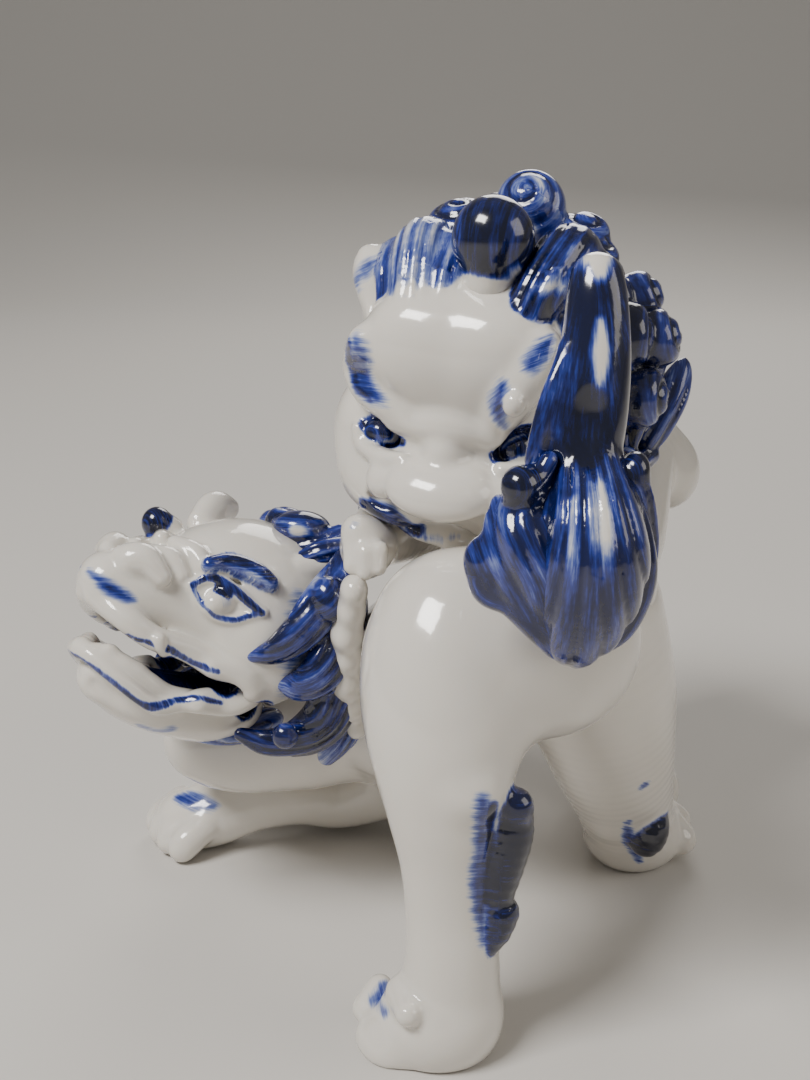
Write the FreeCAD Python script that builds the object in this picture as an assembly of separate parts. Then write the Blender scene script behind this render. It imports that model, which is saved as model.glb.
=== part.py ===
import FreeCAD, Part
import math, os

# Two lion-dogs at play, a free-standing hollow porcelain group.
# Millimetres, +Z up, the table is the plane z = 0, the viewer's side is -Y.
# The figures were press-moulded and hand-rolled as separate clay pieces and luted together with slip.
# Each piece is one node; a later piece is trimmed to the outside of the pieces that it is luted on.

# ---- driving dimensions
WALL = 4.0            # wall of the hollow bodies and heads
VENT_R = 3.0          # firing vent under each belly
SOLE = 0.0            # height of the ground soles of the paws
CENTRE_X, CENTRE_Y = -0.33, 55.61   # moved so that the origin is under the middle of the group
THIGH_R = 14.0        # lower lion's raised thigh
SHIN_R = 8.6          # lower lion's hind shin
FOREARM_R = 6.8       # lower lion's forearm
TORSO_R = 19.0        # both bodies
TAIL_R = 13.0         # widest radius of the lower lion's tail plume
HEAD_UP = (13.0, 47.0, 108.5)    # centre of the upper lion's skull
HEAD_UP_F = (-0.33, -0.91, -0.26)
HEAD_LO = (-33.0, 55.0, 62.0)    # centre of the lower lion's skull
HEAD_LO_F = (-0.80, -0.56, 0.20)

V = FreeCAD.Vector


def unit(a):
    n = math.sqrt(sum(x * x for x in a))
    return tuple(x / n for x in a)


def cross(a, b):
    return (a[1] * b[2] - a[2] * b[1], a[2] * b[0] - a[0] * b[2], a[0] * b[1] - a[1] * b[0])


def turn(a, b, deg):
    t = math.radians(deg)
    c, s = math.cos(t), math.sin(t)
    return tuple(c * x + s * y for x, y in zip(a, b)), tuple(-s * x + c * y for x, y in zip(a, b))


class Head:
    """A frame on a head: f forward, l to the lion's left, u up, from the middle of the skull."""

    def __init__(self, c, forward, roll):
        self.c = c
        f = unit(forward)
        l = unit(cross((0, 0, 1), f))
        u = cross(f, l)
        l, u = turn(l, u, roll)
        self.f, self.l, self.u = f, l, u

    def p(self, f, l, u):
        return tuple(self.c[i] + f * self.f[i] + l * self.l[i] + u * self.u[i] for i in range(3))

    def ax(self, yaw=0, pitch=0, roll=0):
        f, l = turn(self.f, self.l, yaw)
        f, u = turn(f, self.u, pitch)
        l, u = turn(l, u, roll)
        return (f, l, u)


WORLD = ((1, 0, 0), (0, 1, 0), (0, 0, 1))


def axes_z(d, x=(1, 0, 0)):
    """Axes whose third is along d."""
    w = unit(d)
    if abs(sum(a * b for a, b in zip(w, x))) > 0.95:
        x = (0, 1, 0)
    v = unit(cross(w, x))
    u = cross(v, w)
    return (u, v, w)


def blob(c, r, a=WORLD):
    """An ellipsoid with half-axes r along the axes a."""
    s = Part.makeSphere(1.0)
    m = FreeCAD.Matrix(
        a[0][0] * r[0], a[1][0] * r[1], a[2][0] * r[2], c[0],
        a[0][1] * r[0], a[1][1] * r[1], a[2][1] * r[2], c[1],
        a[0][2] * r[0], a[1][2] * r[1], a[2][2] * r[2], c[2],
        0, 0, 0, 1)
    return s.transformGeometry(m)


def limb(pts, flat=1.0, side=(0, 0, 1)):
    """A rolled limb through (x, y, z, radius) with rounded ends. flat squeezes the sections along side."""
    n = len(pts)

    def cat(t):
        i = min(int(t), n - 2)
        s = t - i
        q = [pts[max(0, min(n - 1, i + k))] for k in (-1, 0, 1, 2)]
        out = []
        for k in range(4):
            a, b, c, d = (w[k] for w in q)
            out.append(0.5 * (2 * b + (c - a) * s + (2 * a - 5 * b + 4 * c - d) * s * s + (3 * b - a - 3 * c + d) * s ** 3))
        return out

    steps = max(2 * (n - 1), 3)
    mid = [cat((n - 1) * i / steps) for i in range(steps + 1)]

    def sub(a, b):
        return tuple(x - y for x, y in zip(a[:3], b[:3]))

    d0, d1 = unit(sub(mid[1], mid[0])), unit(sub(mid[-1], mid[-2]))
    rows = []
    for ang in (90, 66, 42, 20):
        t = math.radians(ang)
        r = mid[0][3]
        rows.append((tuple(mid[0][k] - d0[k] * r * math.sin(t) for k in range(3)), d0, r * math.cos(t)))
    for i, m in enumerate(mid):
        a, b = mid[max(0, i - 1)], mid[min(len(mid) - 1, i + 1)]
        rows.append((tuple(m[:3]), unit(sub(b, a)), m[3]))
    for ang in (20, 42, 66, 90):
        t = math.radians(ang)
        r = mid[-1][3]
        rows.append((tuple(mid[-1][k] + d1[k] * r * math.sin(t) for k in range(3)), d1, r * math.cos(t)))
    ref = cross(rows[0][1], side)
    if math.sqrt(sum(x * x for x in ref)) < 0.1:
        ref = cross(rows[0][1], (1, 0, 0))
    ref = unit(ref)
    wires = []
    for c, d, r in rows:
        dd = sum(a * b for a, b in zip(ref, d))
        ref = unit(tuple(a - dd * b for a, b in zip(ref, d)))
        v = cross(d, ref)
        if r < 1e-6:
            wires.append(Part.Vertex(V(*c)))
            continue
        pl = FreeCAD.Placement(FreeCAD.Matrix(
            ref[0], v[0], d[0], c[0], ref[1], v[1], d[1], c[1], ref[2], v[2], d[2], c[2], 0, 0, 0, 1))
        if flat >= 1.0:
            g = Part.Circle(V(0, 0, 0), V(0, 0, 1), r)
        else:
            g = Part.Ellipse(V(0, 0, 0), r, r * flat)
        e = g.toShape()
        e.Placement = pl
        wires.append(Part.Wire([e]))
    return Part.makeLoft(wires, True, False)


def trunk(pts, wall=0.0):
    """A body of balls and eggs through (x, y, z, radius), each a wall smaller when it is the hollow."""
    out = [Part.makeSphere(pts[0][3] - wall, V(*pts[0][:3]))]
    for a, b in zip(pts[:-1], pts[1:]):
        d = tuple(b[k] - a[k] for k in range(3))
        n = math.sqrt(sum(x * x for x in d))
        c = tuple((a[k] + b[k]) / 2 for k in range(3))
        r = (a[3] + b[3]) / 2 - wall
        out.append(blob(c, (r * 1.01, r * 1.01, r + 0.42 * n), axes_z(d)))
        out.append(Part.makeSphere(b[3] - wall, V(*b[:3])))
    return out


def fuse(shapes):
    out = shapes[0]
    for s in shapes[1:]:
        for nudge in NUDGES:
            t = s.copy()
            t.translate(V(*nudge))
            f = out.fuse(t)
            if f.isValid() and len(f.Solids) >= 1 and 1.001 * (out.Volume + t.Volume) > f.Volume > 0.999 * max(out.Volume, t.Volume) \
                    and f.BoundBox.DiagonalLength > 0.98 * max(out.BoundBox.DiagonalLength, t.BoundBox.DiagonalLength):
                out = f
                break
        else:
            print("  fuse skipped")
    return out


NUDGES = ((0, 0, 0), (0.07, -0.05, 0.04), (-0.11, 0.06, 0.09), (0.15, 0.13, -0.1))   # a seam that falls on a seam is moved a hair
OUTER, PARTS, BOXES, ORDER = {}, {}, {}, []


def tight(shape):
    b = FreeCAD.BoundBox()
    for p in shape.tessellate(0.3)[0]:
        b.add(p)
    return b


def add(name, shapes, hollow=None, keep_under=True):
    """Luts a new piece on: fuses its shapes, trims it to the pieces before it and to the table."""
    shape = fuse(shapes)
    box = shape.BoundBox
    if box.ZMin < SOLE:
        cut = shape.cut(Part.makeBox(400, 400, 50, V(-200, -200, SOLE - 50)))
        if cut.isValid() and cut.Volume > 0:
            shape = cut
    tools = []
    box = tight(shape)
    for other in ORDER:
        if box.intersect(BOXES[other]):
            tools.append((other, OUTER[other]))
    for other, o in tools:
        for nudge in NUDGES:
            t = o.copy()
            t.translate(V(*nudge))
            cut = shape.cut(t)
            if cut.isValid() and cut.Solids and cut.Volume < shape.Volume + 1e-3:
                break
        else:
            print("  bad cut", name, other)
            continue
        solids = sorted(cut.Solids, key=lambda s: -s.Volume)
        big = [s for s in solids if s.Volume > max(2.0, 0.06 * solids[0].Volume)]
        if len(shapes) > 1 or len(big) == 1:
            shape = big[0] if len(big) == 1 else Part.makeCompound(big)
        else:
            shape = big[0]
    OUTER[name] = shape
    BOXES[name] = tight(shape)
    part = shape
    if hollow is not None:
        h = shape.cut(hollow)
        if h.isValid() and len(h.Solids) >= 1 and h.Volume < shape.Volume:
            part = h.Solids[0] if len(h.Solids) == 1 else sorted(h.Solids, key=lambda s: -s.Volume)[0]
        else:
            print("  hollow failed", name)
    PARTS[name] = part
    ORDER.append(name)
    print("%-32s solids %d valid %s vol %.0f" % (name, len(part.Solids), part.isValid(), part.Volume), flush=True)


# ================= lower lion =================
A = Head(HEAD_LO, HEAD_LO_F, 4)
LT = [(23, 26, 66, TORSO_R), (17, 42, 60, 18.5), (5, 58, 46, 18), (-6, 71, 36, 17)]
vent = Part.makeCylinder(VENT_R, 28, V(16, 44, 58), V(0.35, 0.25, -0.9))
add("lower_lion_torso", trunk(LT), hollow=fuse(trunk(LT, WALL) + [vent]))

lo_skull = [blob(A.p(-3, 0, 1), (20, 19.5, 17), A.ax()), blob(A.p(13, 0, 5.0), (15, 13.5, 8.2), A.ax()),
            blob(A.p(24, 0, 8.0), (7, 9.5, 5), A.ax()), blob(A.p(1.0, 0, -12), (9, 14, 7), A.ax())]
lo_hollow = blob(A.p(-4, 0, 1), (14.5, 14, 12), A.ax()).fuse(
    Part.makeCylinder(4.0, 20, V(*A.p(-4, 0, 0)), V(*[b - a for a, b in zip(A.p(-4, 0, 0), (0, 64, 44))])))
add("lower_lion_head", lo_skull, hollow=lo_hollow)
add("lower_lion_lower_jaw", [limb([(*A.p(2, 0, -14.5), 10.5), (*A.p(12, 0, -14.8), 10.0), (*A.p(24, 0, -10.5), 8.4)], 0.6, A.u)])
add("lower_lion_tongue", [limb([(*A.p(9, 0, -7.0), 4.4), (*A.p(17, 0, -7.6), 4.8), (*A.p(24, 0, -3.6), 3.6)], 0.5, A.u)])
add("lower_lion_upper_fangs", [blob(A.p(20, s * 8.5, -4.2), (1.9, 1.6, 4.2), A.ax()) for s in (1, -1)])
add("lower_lion_lower_teeth", [blob(A.p(f, s * 6.3, u), (3.2, 1.9, 2.6), A.ax()) for s in (1, -1) for f, u in ((17.5, -9.6), (25.5, -5.4))])
add("lower_lion_left_eyeball", [blob(A.p(9.5, 13.2, 5.0), (4.6, 3.6, 3.6), A.ax())])
add("lower_lion_right_eyeball", [blob(A.p(9.5, -13.2, 5.0), (4.6, 3.6, 3.6), A.ax())])
add("lower_lion_left_brow", [blob(A.p(7.0, 13.2, 10.6), (8.0, 4.4, 3.2), A.ax(-8, -10, 0))])
add("lower_lion_right_brow", [blob(A.p(11.5, -12.0, 12.6), (6.2, 4.6, 4.6), A.ax(8, -10, 0))])
add("lower_lion_left_ear", [blob(A.p(-12.0, 15.5, 9.0), (7.5, 3.8, 4.2), A.ax(-20, -12, 0))])
add("lower_lion_right_ear", [blob(A.p(-1.5, -15.5, 16.5), (6.5, 4.0, 5.2), A.ax(14, 14, 0))])

add("lower_lion_left_hind_leg", [limb([(9, 16, 71, 12.6), (8, 13, 63, THIGH_R), (8.2, 11, 52, 12.2), (8.6, 9, 42, 10.6), (8.8, 5.5, 26, SHIN_R), (8.6, 4, 12, 9.0)]),
    blob((4.6, 4.8, 7.2), (12.0, 9.8, 8.2)), blob((-6.2, 10.0, 6.6), (4.2, 4.2, 6.2)), blob((-5.2, 4.2, 5.2), (4.6, 4.4, 5.6)), blob((-1.4, -1.4, 4.8), (4.8, 4.2, 5.2))])
add("lower_lion_right_hind_leg", [limb([(35, 42, 62, 12.2), (37, 48, 52, 12.8), (41, 56, 38, 10.8), (46, 63, 25, 9.2), (48, 68, 13, 8.8)]),
    blob((49.5, 72.5, 6.4), (9.8, 10.6, 7.4)), blob((57.0, 76, 5.2), (3.8, 4.6, 5.6)), blob((53.0, 81.5, 5.0), (4.0, 4.6, 5.4)), blob((46.0, 82.5, 5.0), (4.0, 4.6, 5.4))])
add("lower_lion_left_foreleg", [limb([(2, 60, 40, 13), (3, 72, 26, 10.5), (0, 79, 16, 8), (-16, 79.5, 14.5, FOREARM_R), (-32, 78, 12, 7.2), (-41, 77, 8.8, 8.0)]),
    blob((-47, 77, 7.4), (9.6, 8.6, 7.8)), blob((-54.0, 81.5, 5.0), (4.2, 3.6, 5.2)), blob((-55.0, 76.4, 5.0), (4.2, 3.6, 5.2)), blob((-52.4, 71.4, 5.0), (4.2, 3.4, 5.2))])
add("lower_lion_right_foreleg", [limb([(-4, 82, 38, 12), (-2, 93, 24, 9.5), (-3, 98, 14, 8), (-12, 100, 11, 7), (-21, 101, 9.5, 7.4)]),
    blob((-27, 101, 7.2), (9.2, 8.6, 7.6)), blob((-33.8, 105.5, 5.0), (4.2, 3.6, 5.2)), blob((-35.0, 100.6, 5.0), (4.2, 3.6, 5.2)), blob((-32.6, 95.6, 5.0), (4.2, 3.4, 5.2))])
add("lower_lion_left_hock_tuft", [blob((16.4, 2.6, 37.0), (4.4, 4.8, 7.4)), blob((15.8, 1.8, 27.0), (4.0, 4.4, 6.2))])
add("lower_lion_right_hock_tuft", [blob((48.6, 56.4, 22.4), (3.6, 4.2, 4.4), axes_z((0.1, 0.25, -1))), blob((48.0, 60.0, 15.0), (4.8, 4.8, 6.6), axes_z((0.1, 0.25, -1)))])
add("lower_lion_left_elbow_tuft", [blob((9.4, 78.0, 17.0), (6.2, 5.0, 4.2)), blob((11.0, 76.0, 24.0), (4.8, 4.6, 5.4))])
add("lower_lion_right_elbow_tuft", [blob((6.0, 95.0, 15.0), (6.0, 4.6, 4.2)), blob((7.0, 92.4, 22.0), (4.8, 4.4, 5.0))])
add("lower_lion_spine_ridge", [Part.makeSphere(r, V(*p)) for *p, r in ((-9.4, 36, 74.8, 4.2), (-9.9, 38, 69.5, 4.0), (-10.4, 40, 63.7, 4.4), (-10.5, 42, 57.8, 4.0), (-10.5, 44, 51.7, 4.4), (-10.0, 46, 45.9, 4.0))])
add("lower_lion_mane_left_cheek", [blob(p, r, a) for p, r, a in (
    (A.p(-13, 15.0, -1.5), (6.5, 5.5, 6.5), A.ax()), (A.p(-12, 15.5, -11), (6.5, 5.0, 6.0), A.ax()),
    (A.p(-5.5, 14.0, -17.5), (8.0, 4.8, 5.0), A.ax()), (A.p(-19, 11, -6), (6.0, 7.0, 7.5), A.ax()), (A.p(-17.5, 11.5, -16), (6.5, 6.5, 6.0), A.ax()))])
add("lower_lion_mane_right_cheek", [blob(p, r, a) for p, r, a in (
    (A.p(-13, -15.0, -1.5), (6.5, 5.5, 6.5), A.ax()), (A.p(-12, -15.5, -11), (6.5, 5.0, 6.0), A.ax()),
    (A.p(-5.5, -14.0, -16.5), (8.0, 4.8, 5.0), A.ax()), (A.p(-19, -11, -5), (6.0, 7.0, 7.5), A.ax()))])
add("lower_lion_mane_crown", [blob(p, r, a) for p, r, a in (
    (A.p(-14.5, 5.5, 15.0), (8.5, 5.6, 5.2), A.ax()), (A.p(-14, -6.5, 15.5), (8.0, 6.0, 5.2), A.ax()),
    (A.p(-21, 4, 6.5), (6.5, 8.0, 7.0), A.ax()), (A.p(-20.5, -8.5, 6.5), (6.5, 7.0, 7.0), A.ax()))])
add("lower_lion_beard", [blob(A.p(1.0, 0, -21.5), (8.0, 8.0, 4.2), A.ax(0, -10))])
add("lower_lion_tail_plume", [limb([(26.5, 13, 82, 6.5), (25.5, 3.5, 84, 10.5), (24.5, -2.0, 91, TAIL_R), (26.0, -1.0, 102, 8.6), (28.2, 2.0, 113, 6.2), (28.6, 4.4, 124, 5.4), (28.4, 5.2, 132, 4.2)])])
add("lower_lion_tail_left_curls", [blob((14.2, 0.0, 101.5), (4.6, 4.6, 5.0)), blob((9.4, -1.0, 89.5), (6.0, 5.4, 6.6)), blob((15.0, -3.0, 82.6), (6.6, 5.0, 4.2))])
add("lower_lion_tail_right_curls", [blob((36.2, 0.6, 103.2), (3.8, 4.4, 6.2)), blob((37.2, 0.0, 93.0), (3.4, 4.6, 6.4))])

# ================= upper lion =================
B = Head(HEAD_UP, HEAD_UP_F, -5)
UT = [(20, 64, 99, 19), (24, 80, 88, TORSO_R), (27, 93, 75, 18.5), (28, 104, 62, 18)]
vent = Part.makeCylinder(VENT_R, 30, V(26, 92, 74), V(0.06, -0.5, -0.86))
add("upper_lion_torso", trunk(UT), hollow=fuse(trunk(UT, WALL) + [vent]))
up_skull = [blob(B.p(-2, 0, 2), (20, 21.5, 18.5), B.ax()), blob(B.p(12, 0, -8), (12, 17, 10), B.ax()), blob(B.p(21, 0, -8.5), (7.5, 9.5, 6), B.ax())]
up_hollow = blob(B.p(-3, 0, 2), (14.5, 16, 13), B.ax()).fuse(
    Part.makeCylinder(4.0, 22, V(*B.p(-3, 0, 1)), V(*[b - a for a, b in zip(B.p(-3, 0, 1), (20, 68, 98))])))
add("upper_lion_head", up_skull, hollow=up_hollow)
add("upper_lion_lower_jaw", [limb([(*B.p(4, 0, -17), 11), (*B.p(10, 0, -18.5), 10.5), (*B.p(15, 0, -18.5), 8.5)], 0.6, B.u)])
add("upper_lion_left_eyeball", [blob(B.p(15.6, 11.6, -1.6), (3.8, 4.4, 3.6), B.ax())])
add("upper_lion_right_eyeball", [blob(B.p(15.6, -11.6, -1.6), (3.8, 4.4, 3.6), B.ax())])
add("upper_lion_left_brow", [blob(B.p(14.5, 14.0, 6.2), (5.0, 5.6, 8.2), B.ax(0, 0, -24))])
add("upper_lion_right_brow", [blob(B.p(14.5, -14.0, 6.2), (5.0, 5.6, 8.2), B.ax(0, 0, 24))])
add("upper_lion_left_ear", [blob(B.p(-1.0, 20.0, 13.0), (3.8, 5.4, 7.6), B.ax(0, 0, -28))])
add("upper_lion_right_ear", [blob(B.p(-1.0, -20.0, 13.0), (3.8, 5.4, 7.6), B.ax(0, 0, 28))])
add("upper_lion_forelock", [blob(B.p(4.5, 1.5, 23.5), (7.4, 7.2, 7.4), B.ax())])
add("upper_lion_mane_crown", [blob(p, r, a) for p, r, a in (
    (B.p(-4.5, -11.5, 19.5), (6.5, 7.2, 5.6), B.ax()), (B.p(-6.5, 12.5, 19.5), (7.0, 7.6, 6.2), B.ax()), (B.p(-12.5, 2.0, 26.0), (7.8, 7.4, 7.8), B.ax()),
    (B.p(-18, -11, 17.0), (7.2, 7.4, 7.4), B.ax()), (B.p(-19, 12, 17.5), (7.4, 7.6, 7.6), B.ax()), (B.p(-24, 0, 15), (7.0, 8.0, 8.0), B.ax()))])
add("upper_lion_mane_left_side", [blob(p, r, a) for p, r, a in (
    (B.p(-13, 22.0, 10.0), (6.6, 6.4, 7.0), B.ax()), (B.p(-10.5, 24.0, 0.5), (6.2, 6.0, 7.2), B.ax()), (B.p(-17.0, 25.0, -2.0), (5.6, 5.8, 8.0), B.ax(0, 0, -14)),
    (B.p(-8.5, 22.5, -9.5), (6.0, 6.0, 6.4), B.ax()), (B.p(-23, 17.0, 5.0), (7.0, 8.0, 7.6), B.ax()), (B.p(-20, 18.0, -10.0), (6.6, 7.0, 7.2), B.ax()))])
add("upper_lion_mane_right_side", [blob(p, r, a) for p, r, a in (
    (B.p(-13, -21.0, 10.0), (6.6, 6.0, 7.0), B.ax()), (B.p(-11.5, -21.5, 0.0), (6.2, 5.6, 7.2), B.ax()),
    (B.p(-9.5, -20.5, -9.5), (6.0, 5.6, 6.4), B.ax()), (B.p(-23, -16.0, 4.0), (7.0, 8.0, 7.6), B.ax()), (B.p(-20, -16.0, -9.0), (6.6, 7.0, 7.2), B.ax()))])
add("upper_lion_mane_nape", [blob(p, r) for p, r in (
    ((13, 75, 113.5), (8, 6.5, 8)), ((29, 77, 112.0), (8, 6.5, 8)), ((20, 84, 107.0), (8.5, 7, 7.0)), ((35, 83, 103.0), (7.5, 7, 7.5)), ((8, 82, 103.0), (7.0, 7, 7.0)), ((27, 92, 99.0), (8, 7, 6.5)))])
add("upper_lion_beard", [blob(B.p(9.0, 0, -22.5), (6.5, 7.5, 4.0), B.ax())])
add("upper_lion_left_foreleg", [limb([(41, 80, 86, 12.0), (43, 68, 80, 9.5), (41, 56, 76, 8.0), (38, 46, 76, 7.2)]), blob((37.5, 41.5, 76.5), (7.6, 8.4, 6.6)),
    blob((42.0, 35.6, 74.6), (3.4, 4.0, 4.6)), blob((37.0, 34.0, 75.6), (3.4, 4.0, 4.6)), blob((32.4, 35.4, 76.4), (3.2, 4.0, 4.4))])
add("upper_lion_right_foreleg", [limb([(5, 76, 86, 12.0), (-3, 66, 84, 9.0), (-7, 56, 83, 7.8), (-7.5, 50, 81, 7.2)]), blob((-7.0, 45.5, 78.6), (7.4, 7.6, 7.4)),
    blob((-10.6, 40.8, 75.6), (3.3, 3.8, 5.0)), blob((-5.8, 39.4, 75.4), (3.3, 3.8, 5.0)), blob((-1.8, 41.6, 76.8), (3.0, 3.6, 4.6))])
add("upper_lion_left_hind_leg", [limb([(37, 100, 63, 12.5), (39, 98, 54, 13.0), (43, 95, 40, 11.0), (48.5, 101, 26, 8.6), (51, 104, 13, 8.0)]),
    blob((51.5, 100, 7.0), (8.6, 11.0, 7.4)), blob((56.8, 91.6, 5.2), (3.7, 4.4, 5.4)), blob((51.5, 89.4, 5.2), (3.7, 4.4, 5.4)), blob((46.4, 91.8, 5.2), (3.7, 4.4, 5.4))])
add("upper_lion_right_hind_leg", [limb([(17, 100, 63, 12.5), (15, 99, 54, 13.0), (12, 97, 40, 11.0), (10.5, 103, 26, 8.6), (10, 106, 13, 8.0)]),
    blob((9.5, 103, 7.0), (9.0, 11.0, 7.4)), blob((15.0, 94.6, 5.2), (3.8, 4.4, 5.4)), blob((9.5, 92.4, 5.2), (3.8, 4.4, 5.4)), blob((4.2, 94.8, 5.2), (3.8, 4.4, 5.4))])
add("upper_lion_left_hock_tuft", [blob((48.5, 108.4, 31.0), (4.4, 4.4, 6.6)), blob((50.6, 110.6, 21.5), (4.2, 4.2, 6.4))])
add("upper_lion_right_hock_tuft", [blob((9.8, 110.0, 31.0), (4.4, 4.4, 6.6)), blob((9.4, 112.0, 21.5), (4.2, 4.2, 6.4))])
add("upper_lion_left_elbow_tuft", [blob((49.0, 78, 77.0), (4.0, 6.0, 5.0))])
add("upper_lion_right_elbow_tuft", [blob((-8.6, 74, 79.0), (4.4, 6.0, 5.0))])
add("upper_lion_spine_ridge", [Part.makeSphere(3.4, V(*p)) for p in ((26.0, 97.5, 99.0), (27.0, 102.4, 94.6), (28.0, 107.0, 89.8), (28.6, 111.2, 84.8))])
add("upper_lion_tail_plume", [limb([(29, 110, 64, 6.5), (29.5, 115.5, 68, 8.5), (29.5, 116.5, 79, 9.4), (27.5, 115.0, 90, 7.2), (25.5, 111.5, 99, 4.6)])])
add("upper_lion_tail_left_curls", [blob((38.8, 114.5, 80.5), (4.2, 4.6, 6.2)), blob((37.6, 114.0, 70.5), (4.8, 4.8, 5.2))])
add("upper_lion_tail_right_curls", [blob((20.2, 114.5, 80.5), (4.2, 4.6, 6.2)), blob((21.4, 114.0, 70.5), (4.8, 4.8, 5.2))])

os.makedirs("parts", exist_ok=True)
for f in os.listdir("parts"):
    if f.endswith(".step"):
        os.remove(os.path.join("parts", f))
lo, hi = [1e9] * 3, [-1e9] * 3
for name in ORDER:
    s = PARTS[name].copy()
    s.translate(V(-CENTRE_X, -CENTRE_Y, 0))
    b = tight(s)
    lo = [min(lo[0], b.XMin), min(lo[1], b.YMin), min(lo[2], b.ZMin)]
    hi = [max(hi[0], b.XMax), max(hi[1], b.YMax), max(hi[2], b.ZMax)]
    s.exportStep("parts/%s.step" % name)
print("nodes", len(ORDER), "box", [round(x, 2) for x in lo], [round(x, 2) for x in hi], "middle", round((lo[0] + hi[0]) / 2, 2), round((lo[1] + hi[1]) / 2, 2))
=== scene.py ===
import bpy, math
import numpy as np
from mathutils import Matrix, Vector


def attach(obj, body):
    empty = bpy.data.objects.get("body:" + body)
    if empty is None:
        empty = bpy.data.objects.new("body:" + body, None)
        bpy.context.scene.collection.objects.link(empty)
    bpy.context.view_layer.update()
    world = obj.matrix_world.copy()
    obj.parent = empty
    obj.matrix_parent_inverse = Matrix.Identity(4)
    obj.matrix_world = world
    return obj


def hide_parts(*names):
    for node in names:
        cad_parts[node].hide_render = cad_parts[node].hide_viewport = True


# Looks for the lion-dog group. Each piece is a smooth clay form built as a distance field in millimetres,
# meshed by surface nets, with its brushwork kept as mesh attributes that one porcelain material reads.

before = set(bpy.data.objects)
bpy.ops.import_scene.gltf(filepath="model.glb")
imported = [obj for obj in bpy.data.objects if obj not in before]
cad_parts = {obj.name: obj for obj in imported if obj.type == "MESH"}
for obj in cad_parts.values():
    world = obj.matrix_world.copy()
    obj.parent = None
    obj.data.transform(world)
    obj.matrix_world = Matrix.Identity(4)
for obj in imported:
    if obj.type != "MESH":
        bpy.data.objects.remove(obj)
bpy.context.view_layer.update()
X0, Y0 = -0.33, 55.61          # the row frame's origin in the sculpting frame, mm
H_BODY, H_FINE = ((0.56, 0.42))

# ------------------------------------------------------------------ frames
FOC, TILT, EYE = 1500.0, math.radians(18.0), np.array((0.0, -214.4, 164.0))
SN, CS = math.sin(TILT), math.cos(TILT)


def at(u, v, y):
    """The point at depth y seen at (u, v) in an 810 x 1080 view from the camera."""
    a, b = (u - 405) / FOC, -(v - 540) / FOC
    dy, dz = CS + b * SN, -SN + b * CS
    t = (y - EYE[1]) / dy
    return np.array((EYE[0] + a * t, y, EYE[2] + dz * t))


def scale(p):
    return ((p[1] - EYE[1]) * CS - (p[2] - EYE[2]) * SN) / FOC


def S(*rows):
    """Rows of (u, v, y, radius in view units) as (x, y, z, radius mm)."""
    out = []
    for u, v, y, r in rows:
        p = at(u, v, y)
        out.append((p[0], p[1], p[2], r * scale(p)))
    return out


def unit(a):
    a = np.asarray(a, float)
    return a / np.linalg.norm(a)


class Frame:
    def __init__(self, c, f, roll=0.0):
        self.c = np.asarray(c, float)
        f = unit(f)
        l = unit(np.cross((0, 0, 1), f))
        u = np.cross(f, l)
        t = math.radians(roll)
        self.f = f
        self.l = math.cos(t) * l + math.sin(t) * u
        self.u = -math.sin(t) * l + math.cos(t) * u

    def p(self, f, l, u):
        return self.c + f * self.f + l * self.l + u * self.u

    def rows(self, *rows):
        return [(*self.p(*r[:3]), r[3]) for r in rows]

    def ax(self, yaw=0, pitch=0, roll=0):
        def turn(a, b, deg):
            t = math.radians(deg)
            return math.cos(t) * a + math.sin(t) * b, -math.sin(t) * a + math.cos(t) * b
        f, l = turn(self.f, self.l, yaw)
        f, u = turn(f, self.u, pitch)
        l, u = turn(l, u, roll)
        return np.array((f, l, u))


SCREEN = np.array(((1, 0, 0), (0, CS, -SN), (0, SN, CS)))     # right, away, up as the camera sees them


def screen_ax(ang=0):
    t = math.radians(ang)
    r, d, u = SCREEN
    return np.array((math.cos(t) * r + math.sin(t) * u, d, -math.sin(t) * r + math.cos(t) * u))


# ------------------------------------------------------------------ primitives
def smooth_path(rows, per=7):
    n = len(rows)
    a = np.array(rows, float)
    if n == 1:
        return a
    out = []
    for i in range(n - 1):
        p0, p1, p2, p3 = a[max(i - 1, 0)], a[i], a[i + 1], a[min(i + 2, n - 1)]
        for k in range(per):
            t = k / per
            out.append(0.5 * (2 * p1 + (p2 - p0) * t + (2 * p0 - 5 * p1 + 4 * p2 - p3) * t * t + (3 * p1 - p0 - 3 * p2 + p3) * t ** 3))
    out.append(a[-1])
    return np.array(out)


class Prim:
    """One lump of clay, or one cut into it. hair carves it and steers the brush, cob is how much cobalt it holds."""

    def __init__(self, k=2.0, op="add", hair=None, cob=0.0, dark=0.5, name=""):
        self.k, self.op, self.hair, self.cob, self.dark, self.name = k, op, hair, cob, dark, name

    def far(self):
        return 0.0


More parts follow.
